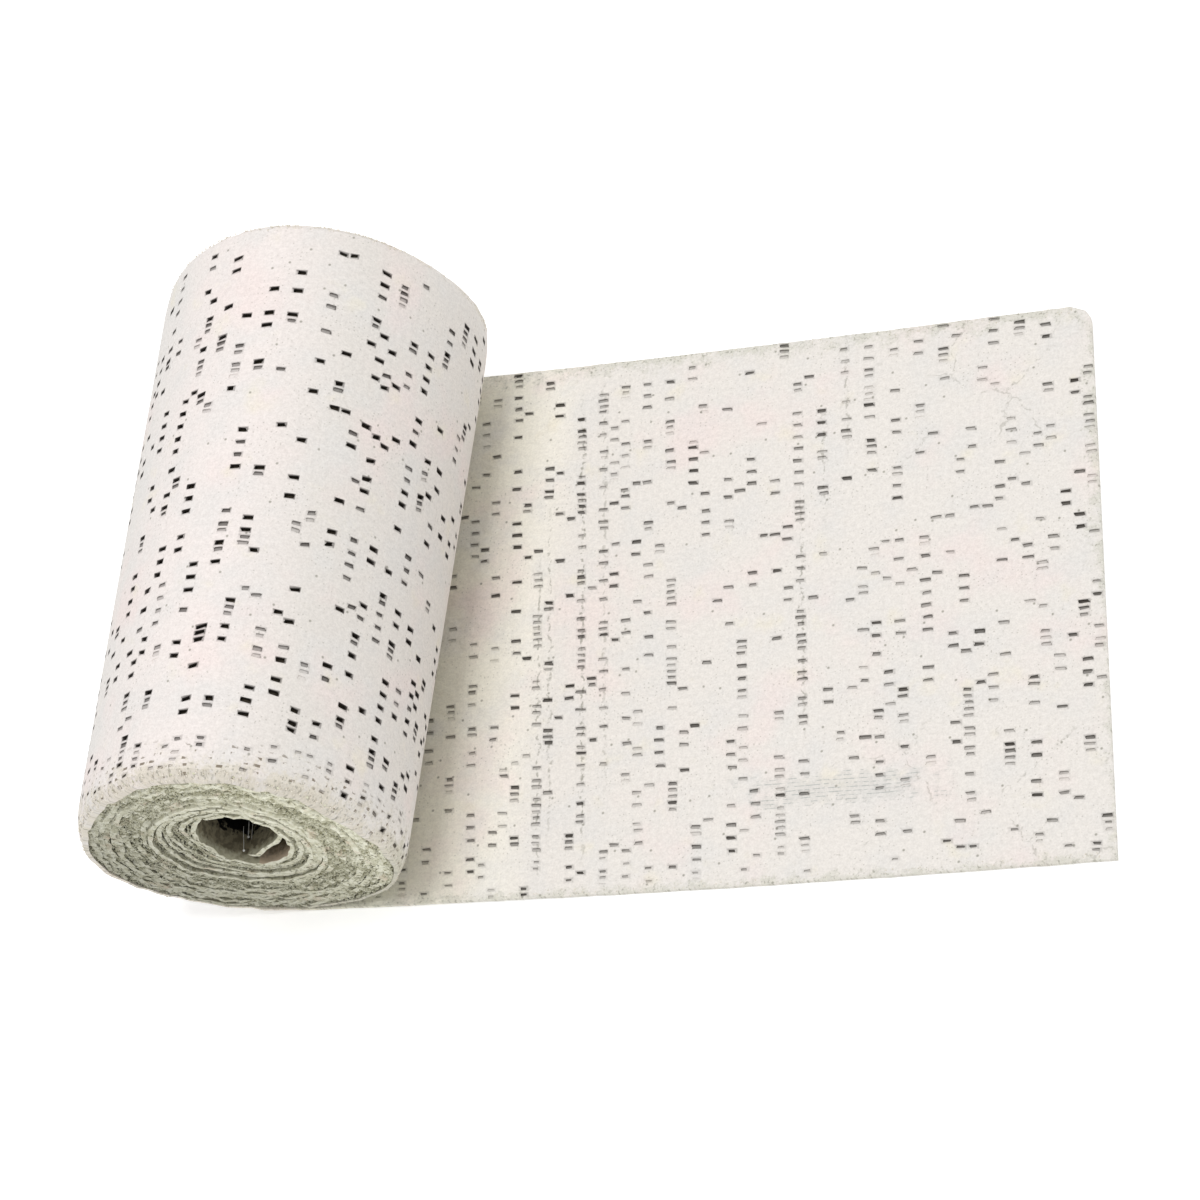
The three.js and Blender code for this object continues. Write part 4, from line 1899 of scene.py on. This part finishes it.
@dataclass(frozen=True)
class Crumbs:
    """Small plaster lumps scattered over a carrier surface: how many a square metre, and radii in mm."""

    name: str
    density: float
    smallest: float
    largest: float
    seed: int
    turned: float = 6.28

    def tree(self, finish: bpy.types.Material) -> Tree:
        """Make the node tree, with the crumbs' sizes as named inputs.

        Args:
            finish: the crumbs' material.

        Returns:
            The tree.
        """
        tree = new_tree(self.name, ("Density", "Smallest", "Largest"), ("Seed",))
        given = add_node(tree, "NodeGroupInput").node.outputs
        seed = given["Seed"]
        scattered = {"Mesh": given["Geometry"], "Density": given["Density"], "Seed": seed}
        points = add_node(tree, "GeometryNodeDistributePointsOnFaces", scattered)
        lump = add_node(tree, "GeometryNodeMeshIcoSphere", {"Radius": 1.0, "Subdivisions": 1})
        low = add_node(tree, "ShaderNodeCombineXYZ", [given["Smallest"]] * 3)
        high = add_node(tree, "ShaderNodeCombineXYZ", [given["Largest"]] * 3)
        sized = {"Min": low, "Max": high, "Seed": seed}
        size = add_node(tree, "FunctionNodeRandomValue", sized, data_type="FLOAT_VECTOR")
        turned = {"Min": (0, 0, 0), "Max": [self.turned] * 3, "Seed": 3}
        turn = add_node(tree, "FunctionNodeRandomValue", turned, data_type="FLOAT_VECTOR")
        placed = {"Points": points, "Instance": lump, "Rotation": turn, "Scale": size}
        end_tree(tree, add_node(tree, "GeometryNodeInstanceOnPoints", placed), finish)
        return tree

    def build(self, carrier: bpy.types.Object, finish: bpy.types.Material) -> bpy.types.Object:
        """Scatter the crumbs and turn the carrier into them.

        Args:
            carrier: an object whose mesh is covered.
            finish: the crumbs' material.

        Returns:
            The crumbs' object.
        """
        values = (self.density, self.smallest * MM, self.largest * MM, self.seed)
        return grown(carrier, self.tree(finish), self.name, values, finish)


def carrier_sheet(points: Array, shift: Array) -> bpy.types.Object:
    """An open grid surface to grow something on.

    Args:
        points: a rows by columns by 3 array, in mm.
        shift: step to the object's frame, in mm.

    Returns:
        The object.
    """
    rows, columns = points.shape[:2]
    faces = [
        (a * columns + b, a * columns + b + 1, (a + 1) * columns + b + 1, (a + 1) * columns + b)
        for a in range(rows - 1)
        for b in range(columns - 1)
    ]
    mesh = bpy.data.meshes.new("carrier")
    mesh.from_pydata((points.reshape(-1, 3) + shift) * MM, [], faces)
    return linked("carrier", mesh)


@dataclass
class CrumbledPlaster:
    """The loose plaster on the roll's ends, on its rims and along the loose end's edges."""

    outer: OuterStrip
    face_crumbs: Crumbs = Crumbs("face_crumbs", 3.8e6, 0.08, 0.34, 3)
    rim_crumbs: Crumbs = Crumbs("rim_crumbs", 1.3e6, 0.06, 0.2, 4)
    edge_crumbs: Crumbs = Crumbs("edge_crumbs", 0.7e6, 0.06, 0.16, 5)
    lines: int = 181
    face_depth: float = 0.35
    core_depth: float = 0.5
    rim_band: float = 0.012
    rim_from: float = 8.0
    rim_to_end: float = 12.0
    edge_band: float = 0.014
    edge_from: float = 14.0
    edge_to_end: tuple[float, float] = (1.0, 12.0)

    def end_sheet(self, near: bool) -> Array:
        """The surface of one end of the roll, between the core hole and the lip.

        Args:
            near: whether it is the near side.

        Returns:
            The points, in mm.
        """
        section = self.outer.edges.winding.section
        angles = np.linspace(0, 2 * math.pi, self.lines)
        angle, t = np.meshgrid(angles, np.linspace(0.02, 0.98, 12), indexing="ij")
        ox, oz = section.outer(angle, 0 * angle + 0.3)
        cx, cz = section.core(angle)
        x, z = mix(cx, ox, t), mix(cz, oz, t)
        depth = self.face_depth + self.core_depth * np.exp(-t * 8)
        foot = self.outer.edges.foot(z)
        return np.stack([x, foot + depth if near else section.width + foot - depth, z], -1)

    def rim_sheet(self, near: bool) -> Array:
        """A band of the outer turn beside one end.

        Args:
            near: whether it is the near side.

        Returns:
            The points, in mm.
        """
        places = np.linspace(self.rim_from, self.outer.turn_length - self.rim_to_end, self.lines)
        along, t = np.meshgrid(places, np.linspace(0, self.rim_band, 6), indexing="ij")
        return self.outer.place(along, t if near else 1 - t)[0]

    def edge_sheet(self, near: bool) -> Array:
        """A narrow band along one edge of the loose end.

        Args:
            near: whether it is the near side.

        Returns:
            The points, in mm.
        """
        start = self.outer.turn_length
        end = start + self.outer.edges.loose_near_x - self.outer.edges.nip_x
        places = np.linspace(start + self.edge_from, end - self.edge_to_end[0 if near else 1], self.lines)
        along, t = np.meshgrid(places, np.linspace(0, self.edge_band, 4), indexing="ij")
        return self.outer.place(along, t if near else 1 - t)[1]

    def build(
        self, shift: Array, pale: bpy.types.Material, dull: bpy.types.Material
    ) -> list[bpy.types.Object]:
        """Scatter all crumbs.

        Args:
            shift: step to the object's frame, in mm.
            pale: finish of the crumbs on the rims and edges.
            dull: finish of the crumbs on the ends.

        Returns:
            The crumbs' objects.
        """
        things = []
        for near, side in ((True, "near"), (False, "far")):
            for crumbs, sheet, finish in (
                (self.face_crumbs, self.end_sheet(near), dull),
                (self.rim_crumbs, self.rim_sheet(near), pale),
                (self.edge_crumbs, self.edge_sheet(near), pale),
            ):
                thing = crumbs.build(carrier_sheet(sheet, shift), finish)
                thing.name = f"{crumbs.name}_{side}"
                things.append(thing)
        return things


@dataclass(frozen=True)
class CoreThreads:
    """Loose yarns along the core hole's lower wall, each from its knotted near end to its inner end."""

    ends: tuple[tuple[float, float, float], ...] = (
        (-2.15, 1.9, 22.45),
        (-2.6, 6.0, 22.9),
        (-1.8, 4.4, 22.2),
        (-2.05, 7.0, 22.5),
        (-1.2, 2.7, 21.85),
        (-1.5, 6.6, 22.1),
    )
    radius: float = 0.06
    sway: float = 0.3
    knot: float = 0.2
    steps: int = 16
    sides: int = 6
    sways_per_metre: float = 300.0

    def tree(self, finish: bpy.types.Material) -> Tree:
        """Make the node tree, with the yarn's sizes as named inputs.

        Args:
            finish: the yarn's material.

        Returns:
            The tree.
        """
        tree = new_tree("core_threads", ("Radius", "Sway", "Knot"))
        given = add_node(tree, "NodeGroupInput").node.outputs
        curve = add_node(tree, "GeometryNodeMeshToCurve", (given["Geometry"],))
        fine = add_node(tree, "GeometryNodeResampleCurve", {"Curve": curve, "Count": self.steps})
        place = add_node(tree, "GeometryNodeInputPosition")
        noise = add_node(tree, NOISE, {"Vector": place, "Scale": self.sways_per_metre})
        level = (noise.node.outputs["Color"], (0.5, 0.5, 0.5))
        level = add_node(tree, VECTOR_MATH, level, operation="SUBTRACT")
        offset = add_node(tree, VECTOR_MATH, (level, given["Sway"]), operation="SCALE")
        bent = add_node(tree, "GeometryNodeSetPosition", {"Geometry": fine, "Offset": offset})
        round_yarn = {"Resolution": self.sides, "Radius": given["Radius"]}
        circle = add_node(tree, "GeometryNodeCurvePrimitiveCircle", round_yarn)
        tube = {"Curve": bent, "Profile Curve": circle, "Fill Caps": True}
        yarn = add_node(tree, "GeometryNodeCurveToMesh", tube)
        near_end = add_node(tree, "GeometryNodeCurveEndpointSelection", {"Start Size": 1, "End Size": 0})
        lump = add_node(tree, "GeometryNodeMeshIcoSphere", {"Radius": given["Knot"], "Subdivisions": 2})
        placed = {"Points": bent, "Selection": near_end, "Instance": lump}
        knots = add_node(tree, "GeometryNodeInstanceOnPoints", placed)
        joined = add_node(tree, "GeometryNodeJoinGeometry", (knots,))
        tree.links.new(yarn, joined.node.inputs[0])
        end_tree(tree, joined, finish)
        return tree

    def build(self, shift: Array, finish: bpy.types.Material) -> bpy.types.Object:
        """Lay the threads in the core hole.

        Args:
            shift: step to the object's frame, in mm.
            finish: the yarn's material.

        Returns:
            The threads' object.
        """
        mesh = bpy.data.meshes.new("thread_lines")
        lines = [(k, k + 1) for k in range(0, len(self.ends), 2)]
        mesh.from_pydata((np.array(self.ends) + shift) * MM, lines, [])
        values = (self.radius * MM, self.sway * MM, self.knot * MM)
        return grown(linked("thread_lines", mesh), self.tree(finish), "core_threads", values, finish)


@dataclass(frozen=True)
class Studio:
    """Pale floor, soft lights and the camera at the photograph's angle."""

    camera_at: tuple[float, float, float] = (340.680, -269.925, 561.256)
    camera_aim: tuple[float, float, float] = (44.331, 53.589, 0.0)
    camera_roll: float = math.radians(-42.1245)
    lens: float = 129.38
    sensor: float = 36.0
    sky: float = 0.66
    key_power: float = 6.2
    key_at: tuple[float, float, float] = (0.0, 0.0, 1.1)
    key_size: float = 0.5
    floor_half: float = 3.0
    floor_z: float = -0.0002
    floor_glow: float = 0.3

    def camera(self, shift: Array) -> None:
        """Make the scene's camera.

        Args:
            shift: step from the section frame to the object's frame, in mm.
        """
        data = bpy.data.cameras.new("photo_camera")
        data.lens, data.sensor_width = self.lens, self.sensor
        data.clip_start, data.clip_end = 0.01, 20.0
        cam = bpy.data.objects.new("photo_camera", data)
        ahead = (Vector(self.camera_aim) - Vector(self.camera_at)).normalized()
        level = ahead.cross(Vector((0, 0, 1))).normalized()
        turn = Matrix.Rotation(-self.camera_roll, 3, ahead)
        right = turn @ level
        up = turn @ level.cross(ahead)
        place = Matrix((right, up, -ahead)).transposed().to_4x4()
        place.translation = (Vector(self.camera_at) + Vector(shift)) * MM
        cam.matrix_world = place
        bpy.context.scene.collection.objects.link(cam)
        bpy.context.scene.camera = cam

    def lights(self) -> None:
        """Add the soft box light and the pale surroundings."""
        data = bpy.data.lights.new("key_box", "AREA")
        data.energy, data.size = self.key_power, self.key_size
        lamp = bpy.data.objects.new("key_box", data)
        lamp.location = self.key_at
        lamp.rotation_euler = (-Vector(self.key_at)).to_track_quat("-Z", "Y").to_euler()
        bpy.context.scene.collection.objects.link(lamp)
        world = bpy.data.worlds.new("pale_studio")
        world.use_nodes = True
        sky = world.node_tree.nodes["Background"]
        sky.inputs["Color"].default_value = hex_to_linear("FFFFFF")
        sky.inputs["Strength"].default_value = self.sky
        bpy.context.scene.world = world

    def floor(self) -> None:
        """Add the plain pale floor just under the object."""
        half, z = self.floor_half, self.floor_z
        corners = [(-half, -half, z), (half, -half, z), (half, half, z), (-half, half, z)]
        mesh = bpy.data.meshes.new("floor")
        mesh.from_pydata(corners, [], [(0, 1, 2, 3)])
        # Matt studio paper: it glows a little, so that it stays white up to the picture's edge
        material, _, shader = new_material("pale_floor")
        shader.inputs["Base Color"].default_value = hex_to_linear("F9F9F9")
        shader.inputs["Roughness"].default_value = 0.9
        shader.inputs["Emission Color"].default_value = hex_to_linear("FFFFFF")
        shader.inputs["Emission Strength"].default_value = self.floor_glow
        mesh.materials.append(material)
        linked("floor", mesh)

    def build(self, shift: Array) -> None:
        """Make the whole studio.

        Args:
            shift: step from the section frame to the object's frame, in mm.
        """
        self.camera(shift)
        self.lights()
        self.floor()
        bpy.context.scene.view_settings.view_transform = "Standard"


def main() -> None:
    """Build the roll, its loose end and the studio."""
    edges = StripEdges()
    shift = frame_shift(edges)
    section = edges.winding.section
    outer = OuterStrip(edges)
    finishes = Finishes(outer, float(shift[0]) + section.centre_x - section.radius_near)
    outer_thing = outer.mesh().build("outer_turn_and_loose_end", shift, [finishes.cloth])
    wound = WoundStrip(edges)
    wound_thing = wound.mesh().build("wound_turns", shift, finishes.wound())
    small = CrumbledPlaster(outer).build(shift, finishes.pale, finishes.dull)
    small.append(CoreThreads().build(shift, finishes.yarn))
    for thing, node, slot in (
        (outer_thing, LOOSE_NODE, "plaster_gauze_flat"),
        (wound_thing, ROLL_NODE, "plaster_gauze_wound"),
    ):
        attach(thing, BODY)
        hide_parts(node)
    for thing in small:
        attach(thing, BODY)
    for thing in (outer_thing, wound_thing, *small):
        log.info("%s: %d triangles", thing.name, triangles_of(thing))
    Studio().build(shift)


if __name__ == "__main__":
    main()
